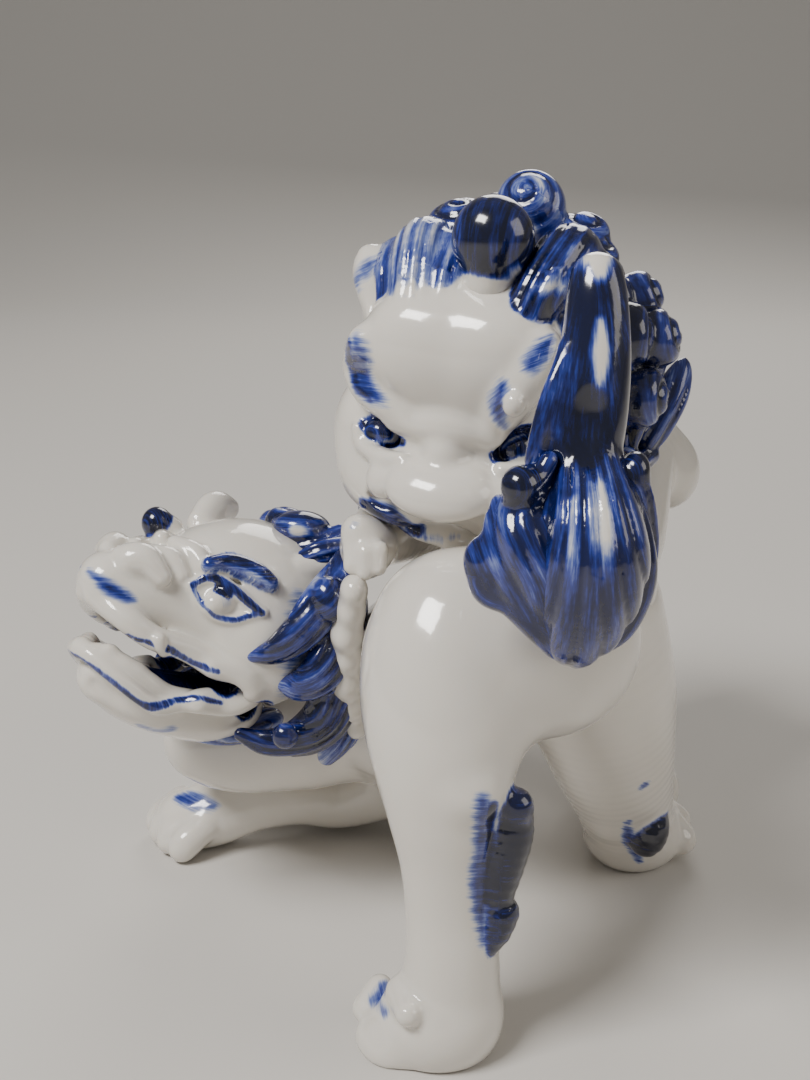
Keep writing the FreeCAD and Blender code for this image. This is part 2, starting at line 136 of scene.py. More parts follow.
class Chain(Prim):
    def __init__(self, rows, flat=None, per=7, **kw):
        """flat = (axis, factor): squeezed by the factor along the axis."""
        super().__init__(**kw)
        self.raw = np.array(rows, float)
        self.flat = None
        c = self.raw[:, :3].mean(axis=0)
        if flat is not None:
            n = unit(flat[0])
            self.flat = (n, flat[1] - 1.0, c)
        q = smooth_path(self.raw, per)
        self.pts = q
        w = self.warp(q[:, :3].copy())
        self.w = np.concatenate((w, q[:, 3:4]), axis=1)
        r = q[:, 3].max() + self.k + 1.6
        self.lo, self.hi = q[:, :3].min(axis=0) - r, q[:, :3].max(axis=0) + r

    def warp(self, p):
        if self.flat is None:
            return p
        n, s, c = self.flat
        n = n.astype(p.dtype)
        d = (p - c.astype(p.dtype)) @ n
        return p + (s * d)[..., None] * n

    def dist(self, p):
        p = self.warp(p)
        best = None
        if len(self.w) == 1:
            return np.linalg.norm(p - self.w[0, :3].astype(p.dtype), axis=-1) - self.w[0, 3]
        for a, b in zip(self.w[:-1], self.w[1:]):
            ab = (b[:3] - a[:3]).astype(p.dtype)
            l2 = float(ab @ ab) + 1e-9
            pa = p - a[:3].astype(p.dtype)
            t = np.clip((pa @ ab) / l2, 0, 1)
            d = np.sqrt(((pa - t[..., None] * ab) ** 2).sum(axis=-1)) - (a[3] + (b[3] - a[3]) * t)
            best = d if best is None else np.minimum(best, d)
        return best

    def along(self, p):
        """Arc length at the nearest point, and the nearest point's tangent."""
        best = np.full(p.shape[:-1], 1e9, p.dtype)
        s = np.zeros_like(best)
        tan = np.zeros(p.shape, p.dtype)
        foot = np.zeros(p.shape, p.dtype)
        run = 0.0
        for a, b in zip(self.pts[:-1], self.pts[1:]):
            ab = (b[:3] - a[:3]).astype(p.dtype)
            n = float(np.linalg.norm(ab)) + 1e-9
            pa = p - a[:3].astype(p.dtype)
            t = np.clip((pa @ ab) / (n * n), 0, 1)
            q = pa - t[..., None] * ab
            d = (q ** 2).sum(axis=-1)
            m = d < best
            best = np.where(m, d, best)
            s = np.where(m, run + t * n, s)
            tan[m] = ab / n
            foot[m] = (p - q)[m]
            run += n
        return s, tan, foot, run


class Ball(Prim):
    def __init__(self, c, r, ax=None, **kw):
        super().__init__(**kw)
        self.c = np.asarray(c, float)
        self.r = np.asarray(r if hasattr(r, "__len__") else (r, r, r), float)
        self.ax = np.eye(3) if ax is None else np.asarray(ax, float)
        e = np.sqrt(((self.ax * self.r[:, None]) ** 2).sum(axis=0)) + self.k + 1.6
        self.lo, self.hi = self.c - e, self.c + e

    def dist(self, p):
        q = (p - self.c.astype(p.dtype)) @ self.ax.T.astype(p.dtype)
        r = self.r.astype(p.dtype)
        k0 = np.sqrt(((q / r) ** 2).sum(axis=-1)) + 1e-6
        k1 = np.sqrt(((q / (r * r)) ** 2).sum(axis=-1)) + 1e-6
        return k0 * (k0 - 1) / k1


def ridges(x, sharp=1.0):
    """0 on the rounded ridge, 1 at the bottom of the narrow groove, period 1."""
    return (1 - np.abs(np.sin(np.pi * x))) ** sharp


def hair_field(prim, p):
    """Groove depth 0..1 and brush coordinates (along, across) in mm."""
    h = prim.hair
    kind = h["kind"]
    if kind == "fan":                       # strands spread from an apex
        d = unit(h["dir"]).astype(p.dtype)
        s = unit(np.cross(h["dir"], h["n"])).astype(p.dtype)
        q = p - np.asarray(h["apex"]).astype(p.dtype)
        a, b = q @ s, q @ d
        r = np.sqrt(a * a + b * b)
        ang = np.arctan2(a, b) + h.get("bend", 0.0) * (r - h.get("r0", 0.0))
        across = ang * h.get("r1", 20.0)
        return ridges(across / h["pitch"] + h.get("ph", 0.0), 1.3), r, across
    if kind == "comb":                      # parallel strokes
        d = unit(h["dir"]).astype(p.dtype)
        s = unit(np.cross(h["dir"], h["n"])).astype(p.dtype)
        q = p - np.asarray(h["apex"]).astype(p.dtype)
        a, b = q @ s, q @ d
        a = a + h.get("bend", 0.0) * b * b
        return ridges(a / h["pitch"] + h.get("ph", 0.0), 1.3), b, a
    if kind == "snail":                     # one spiral arm about a normal
        n = unit(h["n"])
        e1 = unit(np.cross(n, (0.31, 0.17, 0.93)))
        e2 = np.cross(n, e1)
        q = p - np.asarray(h["c"]).astype(p.dtype)
        a, b = q @ e1.astype(p.dtype), q @ e2.astype(p.dtype)
        r = np.sqrt(a * a + b * b) + 1e-4
        th = np.arctan2(b, a) * h.get("hand", 1.0)
        ph = th / (2 * math.pi) + r / h["pitch"] + h.get("ph", 0.0)
        g = ridges(ph, 1.5) * np.clip((r - 0.5) / 0.8, 0, 1)
        return g, th * 3.0, r
    if kind == "lock":                      # strands along a curl
        s, tan, foot, run = prim.along(p)
        n = unit(h["n"]).astype(p.dtype)
        side = np.cross(tan, n)
        side /= np.linalg.norm(side, axis=-1, keepdims=True) + 1e-6
        w = ((p - foot) * side).sum(axis=-1)
        taper = np.clip((run - s) / (0.35 * run), 0.0, 1.0)
        return ridges(w / h["pitch"] + h.get("ph", 0.5), 1.3) * taper, s, w
    raise ValueError(kind)


# ------------------------------------------------------------------ meshing
def smin(a, b, k):
    h = np.maximum(k - np.abs(a - b), 0) / k
    return np.minimum(a, b) - h * h * k * 0.25


def grid_points(lo, h, i0, i1):
    ax = [(lo[k] + h * np.arange(i0[k], i1[k])).astype(np.float32) for k in range(3)]
    g = np.empty((i1[0] - i0[0], i1[1] - i0[1], i1[2] - i0[2], 3), np.float32)
    g[..., 0] = ax[0][:, None, None]
    g[..., 1] = ax[1][None, :, None]
    g[..., 2] = ax[2][None, None, :]
    return g


def surface_nets(F, lo, h):
    n = F.shape
    neg = F < 0
    cnt = np.zeros((n[0] - 1, n[1] - 1, n[2] - 1), np.uint8)
    for dx in (0, 1):
        for dy in (0, 1):
            for dz in (0, 1):
                cnt += neg[dx:n[0] - 1 + dx, dy:n[1] - 1 + dy, dz:n[2] - 1 + dz]
    act = (cnt > 0) & (cnt < 8)
    idx = np.argwhere(act)
    num = -np.ones(act.shape, np.int64)
    num[act] = np.arange(len(idx))
    pos = np.zeros((len(idx), 3))
    wt = np.zeros(len(idx))
    I, J, K = idx.T
    for axis in range(3):
        for a in (0, 1):
            for b in (0, 1):
                o = [0, 0, 0]
                oa, ob = [x for x in range(3) if x != axis]
                o[oa], o[ob] = a, b
                e = list(o)
                e[axis] = 1
                f0 = F[I + o[0], J + o[1], K + o[2]]
                f1 = F[I + e[0], J + e[1], K + e[2]]
                m = (f0 < 0) != (f1 < 0)
                t = np.where(m, f0 / np.where(m, f0 - f1, 1), 0)
                q = np.zeros((len(idx), 3))
                q[:, axis] = t
                q[:, oa] = a
                q[:, ob] = b
                pos += q * m[:, None]
                wt += m
    pos = (pos / wt[:, None] + idx) * h + np.asarray(lo)
    quads = []
    for axis in range(3):
        oa, ob = [(1, 2), (2, 0), (0, 1)][axis]
        sl0 = [slice(None)] * 3
        sl1 = [slice(None)] * 3
        sl0[axis], sl1[axis] = slice(0, -1), slice(1, None)
        s0, s1 = neg[tuple(sl0)], neg[tuple(sl1)]
        for flip, m in ((False, s0 & ~s1), (True, ~s0 & s1)):
            e = np.argwhere(m)
            e = e[(e[:, oa] > 0) & (e[:, ob] > 0) & (e[:, oa] < n[oa] - 1) & (e[:, ob] < n[ob] - 1)]
            va, vb = np.zeros(3, int), np.zeros(3, int)
            va[oa], vb[ob] = 1, 1
            q = [e - va - vb, e - vb, e, e - va]
            q = [num[x[:, 0], x[:, 1], x[:, 2]] for x in q]
            if flip:
                q = q[::-1]
            quads.append(np.stack(q, axis=1))
    return pos, np.concatenate(quads)


def smooth_mesh(v, q, rounds=2):
    e = np.concatenate((q[:, [0, 1]], q[:, [1, 2]], q[:, [2, 3]], q[:, [3, 0]]))
    a = np.concatenate((e[:, 0], e[:, 1]))
    b = np.concatenate((e[:, 1], e[:, 0]))
    deg = np.bincount(a, minlength=len(v)).astype(float)[:, None]

    def lap(x):
        return np.stack([np.bincount(a, weights=x[b, k], minlength=len(x)) for k in range(x.shape[1])], axis=1) / deg - x
    for _ in range(rounds):
        v = v + 0.55 * lap(v)
        v = v - 0.50 * lap(v)
    return v, lap


def normals_of(v, q):
    n = np.cross(v[q[:, 2]] - v[q[:, 0]], v[q[:, 3]] - v[q[:, 1]])
    out = np.zeros_like(v)
    for c in range(4):
        for k in range(3):
            out[:, k] += np.bincount(q[:, c], weights=n[:, k], minlength=len(v))
    return out / (np.linalg.norm(out, axis=1, keepdims=True) + 1e-12)


def fbm(p, seed=0):
    """Cheap smooth noise in 0..1 on points, from a few fixed waves."""
    rng = np.random.RandomState(seed)
    out = np.zeros(len(p))
    for _ in range(10):
        d = rng.normal(size=3)
        d *= rng.uniform(0.5, 1.3) / np.linalg.norm(d)
        out += np.sin(p @ d + rng.uniform(0, 6.28))
    return 0.5 + 0.5 * np.tanh(out / 3.2)


PIECES = []


class Stroke:
    """Brushwork laid on near a path or a ball: rows of (x, y, z, reach). along is the brush direction."""

    def __init__(self, rows, cob=1.0, dark=0.5, soft=1.0, along=None, n=None, normal=None):
        self.c = Chain(rows, k=0.0)
        self.cob, self.dark, self.soft, self.along_, self.n = cob, dark, soft, along, n
        self.normal = normal


def sculpt(name, prims, nodes, slot, h=None, strokes=(), floor=False, k_floor=0.6, smooth=2, mat=None):
    h = h or H_FINE
    adds = [p for p in prims if p.op == "add"]
    lo = np.min([p.lo for p in adds], axis=0) - h
    hi = np.max([p.hi for p in adds], axis=0) + h
    n = np.ceil((hi - lo) / h).astype(int) + 1
    F = np.full(n, 4.0, np.float32)

    def block(p):
        i0 = np.clip(np.floor((p.lo - lo) / h).astype(int), 0, n)
        i1 = np.clip(np.ceil((p.hi - lo) / h).astype(int) + 1, 0, n)
        return i0, i1
    for p in prims:
        i0, i1 = block(p)
        if np.any(i1 <= i0):
            continue
        g = grid_points(lo, h, i0, i1)
        d = p.dist(g)
        if p.hair is not None and p.hair.get("amp", 0) > 0:
            near = np.abs(d) < 2.2
            gv, _, _ = hair_field(p, g[near])
            d[near] += p.hair["amp"] * gv.astype(np.float32)
        sub = F[i0[0]:i1[0], i0[1]:i1[1], i0[2]:i1[2]]
        if p.op == "add":
            sub[...] = smin(sub, d, max(p.k, 1e-3))
        else:
            sub[...] = -smin(-sub, d, max(p.k, 1e-3))
    if floor:
        z = lo[2] + h * np.arange(n[2])
        F[...] = -smin(-F, (z[None, None, :]).astype(np.float32), k_floor)
    F[0], F[-1], F[:, 0], F[:, -1], F[:, :, 0], F[:, :, -1] = 4, 4, 4, 4, 4, 4
    v, q = surface_nets(F, lo, h)
    v, lap = smooth_mesh(v, q, smooth)
    nrm = normals_of(v, q)
    curv = -(lap(v) * nrm).sum(axis=1) / (h * h)        # above 0 on ridges
    for _ in range(2):
        curv = curv + 0.5 * lap(curv[:, None])[:, 0]
    # brushwork
    N = len(v)
    best = np.full(N, 1e9)
    cob = np.zeros(N)
    dark = np.full(N, 0.5)
    hs, ht, gr = v[:, 2].copy(), (v[:, 0] + v[:, 1]), np.zeros(N)
    P = v.astype(np.float32)
    for p in prims:
        m = np.all((P > p.lo) & (P < p.hi), axis=1)
        if not m.any():
            continue
        d = p.dist(P[m])
        if p.op != "add":
            if p.cob > 0:
                w = np.clip(1 - np.abs(d) / 1.2, 0, 1) > 0.3
                ii = np.where(m)[0][w]
                cob[ii], dark[ii] = p.cob, p.dark
            continue
        sel = d < best[m] - (0.25 if p.cob > 0 else 0.0)
        ii = np.where(m)[0][sel]
        best[ii] = d[sel]
        cob[ii], dark[ii] = p.cob, p.dark
        if p.hair is not None:
            g, s, t = hair_field(p, P[ii])
            hs[ii], ht[ii], gr[ii] = s, t, g
        else:
            gr[ii] = 0
    for _ in range(6):
        cob = cob + 0.5 * lap(cob[:, None])[:, 0]
    for s in strokes:
        m = np.all((P > s.c.lo - s.soft - 2) & (P < s.c.hi + s.soft + 2), axis=1)
        if not m.any():
            continue
        d = s.c.dist(P[m])
        w = np.clip(-d / max(s.soft, 1e-3), 0, 1)
        if s.normal is not None:
            w = w * np.clip((nrm[m] @ unit(s.normal)) * 3.0, 0, 1)
        ii = np.where(m)[0]
        if s.cob <= 0:
            cob[ii] = cob[ii] * (1 - w)
            continue
        take = w * s.cob > cob[ii]
        cob[ii] = np.maximum(cob[ii], w * s.cob)
        dark[ii] = np.where(take, s.dark, dark[ii])
        if s.along_ is not None:
            a = unit(s.along_)
            b = unit(np.cross(a, s.n if s.n is not None else SCREEN[1]))
            j = ii[w > 0]
            hs[j], ht[j], gr[j] = v[j] @ a, v[j] @ b, 0
    me = bpy.data.meshes.new(name)
    w = (v - np.array((X0, Y0, 0.0))) / 1000.0
    me.vertices.add(N)
    me.vertices.foreach_set("co", w.astype(np.float32).ravel())
    me.loops.add(len(q) * 4)
    me.loops.foreach_set("vertex_index", q.astype(np.int32).ravel())
    me.polygons.add(len(q))
    me.polygons.foreach_set("loop_start", (np.arange(len(q)) * 4).astype(np.int32))
    me.polygons.foreach_set("loop_total", np.full(len(q), 4, np.int32))
    me.polygons.foreach_set("use_smooth", np.ones(len(q), bool))
    me.update(calc_edges=True)
    me.validate()
    for nm, arr in (("cob", np.clip(cob, 0, 1)), ("dark", dark), ("hs", hs / 10.0), ("ht", ht / 10.0), ("groove", gr), ("curv", np.clip(curv * 0.9, -1, 1))):
        a = me.attributes.new(nm, "FLOAT", "POINT")
        a.data.foreach_set("value", np.ascontiguousarray(arr, np.float32))
    ob = bpy.data.objects.new(name, me)
    bpy.context.scene.collection.objects.link(ob)
    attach(ob, "root")
    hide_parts(*nodes)
    ob.cycles.shadow_terminator_geometry_offset = 0.35
    ob.cycles.shadow_terminator_offset = 0.12
    PIECES.append((ob, slot))
    print("piece %-26s verts %d faces %d" % (name, N, len(q)), flush=True)
    return ob


def seen(prims, u, v, out=0.0):
    """The first point of these forms met by the line of sight through (u, v), moved out mm towards the eye."""
    far = at(u, v, 150.0)
    ts = np.linspace(0.55, 1.0, 2400)
    P = (EYE + (far - EYE) * ts[:, None]).astype(np.float32)
    F = np.full(len(P), 4.0, np.float32)
    for p in prims:
        m = np.all((P > p.lo) & (P < p.hi), axis=1)
        if m.any():
            d = p.dist(P[m]).astype(np.float32)
            F[m] = smin(F[m], d, max(p.k, 1e-3)) if p.op == "add" else -smin(-F[m], d, max(p.k, 1e-3))
    i = int(np.argmax(F < 0)) if (F < 0).any() else int(np.argmin(F))
    w = P[i].astype(float)
    return w - unit(far - EYE) * out


def SS(prims, *rows, out=0.0):
    """Rows of (u, v, radius in view units) laid on these forms as (x, y, z, radius mm)."""
    res = []
    for r in rows:
        p = seen(prims, r[0], r[1], out + (r[3] if len(r) > 3 else 0.0))
        res.append((p[0], p[1], p[2], r[2] * scale(p)))
    return res


def mirror(fr, rows):
    """The same rows on the other side of a head."""
    res = []
    for x, y, z, r in rows:
        d = np.array((x, y, z)) - fr.c
        q = fr.p(d @ fr.f, -(d @ fr.l), d @ fr.u)
        res.append((q[0], q[1], q[2], r))
    return res


def pair(make):
    """The same primitives on both sides of a head: make(s) with s = 1 on the lion's left, -1 on its right."""
    return make(1) + make(-1)


def snail(c, n, r, squash=0.6, pitch=3.0, k=1.0, amp=0.65, cob=0.82, dark=0.8, hand=1, ph=0.0):
    n = unit(n)
    e1 = unit(np.cross(n, (0.31, 0.17, 0.93)))
    e2 = np.cross(n, e1)
    return Ball(c, (r, r, r * squash), np.array((e1, e2, n)), k=k, cob=cob, dark=dark,
                hair={"kind": "snail", "c": c, "n": n, "pitch": pitch, "amp": amp, "hand": hand, "ph": ph})


def lock(rows, n, pitch=2.0, amp=0.6, k=0.8, cob=0.8, dark=0.6, flat=1.5, ph=0.5):
    return Chain(rows, flat=(n, flat) if flat > 1 else None, k=k, cob=cob, dark=dark, hair={"kind": "lock", "n": n, "pitch": pitch, "amp": amp, "ph": ph})


A = Frame((-32.2, 55.6, 61.7), (-.80, -.56, .20), 4)
B = Frame((13, 47, 108.5), (-.33, -.91, -.26), -5)
TOCAM = np.array((0.0, -CS, SN))


# ------------------------------------------------------------------ lower lion: body and legs
def toes(c, f, spread, r, drop, n=4, k=0.9):
    """Rounded toes side by side in front of a paw."""
    c = np.asarray(c, float)
    f = unit((f[0], f[1], 0))
    s = np.array((-f[1], f[0], 0))
    out = []
    for i in range(n):
        t = (i - (n - 1) / 2) / ((n - 1) / 2)
        fw = (1 - 0.26 * t * t)
        p = c + s * spread * t + f * drop * fw
        out.append(Chain([(*(p - f * 4.2 + (0, 0, 2.6)), r * 0.92), (*(p + (0, 0, 0.2)), r), (*(p + f * 1.2 + (0, 0, -1.2)), r * 0.88)], k=k))
    return out


body = [
    Chain([(23, 24, 69, 17.0), (17, 42, 63, 17.0), (5, 58, 48, 17.5), (-5, 72, 36, 17)], k=6),
    Chain(S((455, 634, 19, 84), (450, 662, 17, 88), (446, 705, 14, 84), (445, 755, 11, 72), (446, 805, 9, 59), (448, 855, 8, 48), (450, 905, 7.5, 44), (452, 950, 7, 46), (450, 995, 7, 50)), k=6),
    Ball(at(437, 1022, 6.5), (10.6, 9.4, 8.4), k=4),
    Chain(S((590, 610, 42, 72), (598, 680, 47, 76), (608, 735, 54, 66), (620, 785, 63, 52), (630, 825, 69, 42)), k=6),
    Ball((49.2, 72.5, 5.6), (10.4, 9.8, 7.4), k=4),
    Chain([(0, 62, 38, 13), (3, 73, 26, 10.5), (0, 81, 15, 8.6)] + S((345, 797, 82, 30), (300, 795, 80, 29), (255, 800, 78, 30), (215, 812, 77, 33), (186, 820, 77, 31)), k=5),
    Chain(S((300, 722, 70, 66), (240, 735, 70, 56), (205, 740, 68, 40)), k=6),
    Chain([(-2, 82, 38, 12), (2, 96, 24, 9.5), (0, 100, 14, 8), (-10, 101, 11, 7), (-22, 101, 9.0, 7.6)], k=6),
    Ball(at(505, 640, 16), (9, 8, 9), k=6),
    # near foot: one long toe pad in front and two knuckles to the left
    Chain(S((380, 988, 15, 14), (368, 1008, 12, 16)), k=0.8),
    Chain(S((376, 1018, 10, 14), (374, 1036, 7, 17)), k=0.8),
    Chain(S((400, 990, 6, 14), (408, 1014, -1, 13)), k=1.2),
    Ball(at(396, 1038, 6.5), (6.6, 7.2, 6.0), k=1.6),
    # far foot: toes that show past the heel tuft
    Chain([(55.0, 76, 8.5, 3.6), (58.2, 76.5, 5.4, 3.8)], k=0.9),
    Chain([(53.0, 81, 8.0, 3.6), (55.0, 84, 5.0, 3.8)], k=0.9),
    Chain([(47.0, 82, 8.0, 3.6), (48.0, 85.5, 5.0, 3.8)], k=0.9),
    Chain([(56.0, 70.5, 8.0, 3.4), (58.4, 69.5, 5.0, 3.6)], k=0.9),
]
body += toes((-47.0, 76.5, 4.4), (-0.86, -0.5), 6.6, 3.5, 4.0)
body += toes((-27, 101, 4.6), (-1, 0.1), 6.6, 3.9, 4.4)
# comb-cut hair behind the shins and elbows
def hock(rows, n, d, cob=0.95, dark=0.95, pitch=1.7):
    out = []
    for i, (u, v, y, r) in enumerate(rows):
        p = at(u, v, y)
        out.append(Ball(p, (r * scale(p) * 1.0, r * scale(p) * 0.8, r * scale(p) * 1.05), screen_ax(0), k=1.2, cob=cob, dark=dark,
                        hair={"kind": "comb", "apex": p, "dir": d, "n": n, "pitch": pitch, "amp": 0.45, "bend": 0.02}))
    return out


body += [
    Chain(S((512, 812, 6.0, 22), (510, 835, 5.5, 24), (502, 865, 5, 23), (497, 890, 4.8, 19)), k=1.0, cob=1.0, dark=0.95,
          hair={"kind": "comb", "apex": at(500, 850, 3), "dir": (1, 0, -0.12), "n": TOCAM, "pitch": 1.9, "amp": 0.22, "bend": 0.03}),
    Ball(at(516, 806, 4.5), (3.0, 3.0, 3.2), k=1.0, cob=1.0, dark=0.8),
    Chain(S((500, 912, 4.6, 20), (494, 930, 4.2, 18), (486, 944, 3.8, 13)), k=0.7, cob=1.0, dark=0.95,
          hair={"kind": "comb", "apex": at(500, 850, 3), "dir": (1, 0, -0.12), "n": TOCAM, "pitch": 1.9, "amp": 0.22, "bend": 0.03}),
    Ball(at(648, 829, 57.0), (4.4, 4.2, 5.8), screen_ax(-10), k=1.0, cob=1.0, dark=1.0,
         hair={"kind": "comb", "apex": at(640, 834, 56), "dir": (0.9, 0, -0.3), "n": TOCAM, "pitch": 1.6, "amp": 0.3, "bend": 0.03}),
    Ball(at(645, 790, 56.6), (2.6, 3.0, 2.6), screen_ax(0), k=1.2, cob=0.85, dark=0.7),
    Ball(at(618, 800, 60), (3.4, 4.4, 6.5), screen_ax(-14), k=4),
    Ball(at(472, 790, 3.5), (4.6, 4.2, 3.4), k=4),
]
body_strokes = [
    Stroke(SS(body, (384, 984, 13), (378, 998, 16), (386, 1012, 12)), 0.70, 0.6, 2.4, along=(0.3, 0, -1)),
    Stroke(SS(body, (482, 802, 18), (482, 830, 20), (480, 870, 22), (480, 905, 20), (484, 940, 17)), 0.68, 0.9, 2.9, along=(1, 0, -0.1)),
    Stroke(SS(body, (492, 808, 12), (490, 850, 12), (486, 900, 12)), 0.95, 0.9, 1.6, along=(1, 0, -0.1)),
    Stroke(SS(body, (628, 822, 10), (630, 845, 13), (640, 862, 8)), 0.75, 0.9, 2.0, along=(1, 0, -0.3)),
    Stroke(SS(body, (644, 786, 12)), 0.75, 0.6, 1.8, along=(1, 0, -0.6)),
    Stroke(SS(body, (178, 797, 12), (194, 800, 17), (214, 806, 12)), 0.62, 0.5, 2.8, along=(1, 0, -0.35)),
    Stroke([(50, 80, 12, 5.5), (52, 84, 8, 4)], 0.5, 0.5, 2.0, along=(0.3, 0.9, -0.4)),
    Stroke([(-24, 99, 15, 5.5), (-30, 100, 11, 4)], 0.5, 0.5, 2.0, along=(-1, 0, -0.4)),
]
sculpt("lower_lion_body", body, ["lower_lion_torso", "lower_lion_left_hind_leg", "lower_lion_right_hind_leg", "lower_lion_left_foreleg", "lower_lion_right_foreleg",
                                 "lower_lion_left_hock_tuft", "lower_lion_right_hock_tuft"], "white_glaze", h=H_BODY, strokes=body_strokes, floor=True, smooth=5)


# ------------------------------------------------------------------ upper lion: body and legs
ub = [
    Chain([(20, 62, 100, 18.5), (24, 80, 88, 19), (27, 93, 75, 18.5), (28, 103, 62, 18)], k=6),
    Chain([(40, 80, 87, 11.5), (45, 83, 88, 10.5), (43, 68, 82, 9.0), (41, 56, 76, 8.0), (38, 46, 75, 7.4)], k=5),
    Ball((37, 42, 75.5), (7.4, 8.2, 6.6), k=3),
    Chain([(6, 76, 84, 12.0), (2, 66, 79, 9.0)] + S((378, 536, 50, 32), (369, 545, 43, 28)), k=4),
    Ball(at(366, 548, 40), (4.4, 5.6, 5.6), k=2.0), Ball(at(357, 530, 39), (2.8, 3.2, 2.8), k=1.6), Chain(S((372, 560, 33.5, 3), (371, 545, 33.0, 3), (368, 532, 34, 3)), op="sub", k=1.2), Chain(S((358, 560, 33.5, 3), (358, 548, 33.4, 3), (360, 538, 34, 3)), op="sub", k=1.2),
    Chain([(37, 100, 63, 12.5), (39, 98, 54, 13.0), (43, 95, 40, 11.0), (48.5, 101, 26, 8.6), (51, 104, 13, 8.0)], k=5),
    Ball((51.5, 100, 7.0), (8.6, 11.0, 7.4), k=4),
    Chain([(17, 100, 63, 12.5), (15, 99, 54, 13.0), (12, 97, 40, 11.0), (10.5, 103, 26, 8.6), (10, 106, 13, 8.0)], k=5),
    Ball((9.5, 103, 7.0), (9.0, 11.0, 7.4), k=4),
    Ball(at(664, 470, 84), (7.2, 9.0, 8.0), k=4),
]
ub += toes((51.5, 96, 4.8), (0.1, -1), 6.6, 4.0, 4.6)
ub += toes((9.5, 98, 4.8), (-0.1, -1), 6.6, 4.0, 4.6)
ub += toes((37, 39.5, 73.5), (-0.2, -1), 5.2, 3.1, 3.4, k=0.7)
ub += [Chain(S((354, 548, 37, 11), (352, 566, 35, 9)), k=0.7), Chain(S((366, 552, 35, 11), (365, 572, 34, 9)), k=0.7), Chain(S((379, 550, 35, 10), (379, 568, 34, 8)), k=0.7)]
for x in (49.6, 10.0):
    c = np.array((x, 111, 25))
    hc = {"kind": "comb", "apex": c, "dir": (0, 1, -0.2), "n": (1, 0, 0), "pitch": 1.8, "amp": 0.4, "bend": 0.03}
    ub.append(Chain([(x - 0.8, 108.6, 33, 3.4), (x, 110.6, 27.5, 4.4), (x + 0.6, 111.4, 22.0, 4.2)], k=1.2, cob=0.92, dark=0.9, hair=hc))
    ub.append(Chain([(x + 0.4, 111.8, 18.6, 4.0), (x + 0.8, 111.4, 15.0, 3.0)], k=0.9, cob=0.92, dark=0.9, hair=hc))
ub_strokes = [
    Stroke(S((352, 524, 36, 11), (362, 522, 36, 8)), 0.7, 0.5, 1.6, along=(1, 0, -0.3)),
    Stroke([(52, 93, 12, 5), (53, 90, 8, 4)], 0.55, 0.5, 2.0, along=(0, -1, -0.5)),
    Stroke([(9, 95, 12, 5), (9, 92, 8, 4)], 0.55, 0.5, 2.0, along=(0, -1, -0.5)),
]
sculpt("upper_lion_body", ub, ["upper_lion_torso", "upper_lion_left_foreleg", "upper_lion_right_foreleg", "upper_lion_left_hind_leg", "upper_lion_right_hind_leg",
                               "upper_lion_left_hock_tuft", "upper_lion_right_hock_tuft"], "white_glaze", h=H_BODY, strokes=ub_strokes, floor=True)


# ------------------------------------------------------------------ lower lion: head
hd = [
    Ball(A.p(-3, 0, 1), (19.5, 19.0, 16.5), A.ax(), k=4),
    Ball(A.p(2, 0, 4.2), (14, 14.5, 12.2), A.ax(), k=5),
    Chain(A.rows((4, 0, 3.6, 13), (14, 0, 3.4, 10.3), (21.5, 0, 4.4, 8.4), (27.2, 0, 6.4, 6.0)), flat=(A.u, 1.12), k=4),
]
hd += pair(lambda s: [
    Ball(A.p(-1, s * 12, -5), (11, 7.0, 9), A.ax(), k=4),
    # rolled upper lip
    Chain(A.rows((30.2, s * 2.0, 3.6, 2.3), (27.0, s * 7.2, 0.8, 2.4), (22.5, s * 9.6, -2.2, 2.3), (17.0, s * 10.6, -4.0, 2.3), (11.5, s * 12.4, -6.6, 2.4), (5.5, s * 13.6, -9.4, 2.5)), k=1.6),
    # nose wing
    Ball(A.p(25.0, s * 4.8, 10.6), (3.4, 2.6, 2.6), A.ax(0, 12), k=1.4),
    # cheek roll behind the mouth
    Chain(A.rows((1.5, s * 13.6, -11.5, 2.8), (-1.5, s * 14.6, -6, 4.2), (3, s * 14.6, -1.5, 3.4)), k=4),
    # wrinkles up the bridge
    Chain(A.rows((21.5, s * 3.0, 12.2, 1.5), (18.6, s * 6.0, 11.4, 2.0), (17.4, s * 8.4, 9.0, 1.5)), k=1.2),
    Chain(A.rows((16.4, s * 2.6, 13.6, 1.6), (14.2, s * 6.4, 12.6, 2.1), (13.6, s * 9.2, 10.6, 1.6)), k=1.3),
    Chain(A.rows((27.0, s * 2.6, 11.6, 1.6), (24.0, s * 5.8, 11.6, 2.6), (21.5, s * 8.6, 8.6, 1.8)), k=1.3),
    # upper fang
    Chain(A.rows((19.4, s * 9.4, -4.4, 1.7), (20.2, s * 9.3, -6.4, 1.3), (20.6, s * 9.2, -7.6, 0.8)), k=0.6),
])
hd += [
    # the open mouth, the palate and the throat; the cut's walls are painted blue-black as painted shade inside the
    # mouth
    Ball(A.p(16.0, 0, -9.4), (17.0, 11.4, 5.6), A.ax(0, 15), op="sub", k=1.5, cob=1.0, dark=1.0),
    Ball(A.p(-8, 14.0, 12.0), (4.6, 2.2, 2.6), A.ax(-25, -10), k=1.6),
    Chain(A.rows((2.5, -12.5, 15.0, 3.4), (-1.0, -15.0, 17.6, 3.6), (-5.0, -16.5, 17.5, 2.4)), flat=(A.l, 1.3), k=1.6),
    Chain(A.rows((-5, 13.5, 11.5, 2.2), (-9.5, 15.2, 12.4, 2.2), (-13, 15.6, 11.0, 1.4)), flat=(A.l, 1.3), k=1.4),
]
hb = list(hd)
LIDT = SS(hb, (191, 585, 4), (203, 579, 5), (219, 580, 6), (236, 591, 6), (252, 605, 5), (264, 613, 4), out=0.4)
LIDB = SS(hb, (191, 586, 4), (200, 603, 4), (214, 616, 5), (233, 620, 5), (251, 616, 4), (264, 613, 3), out=0.1)
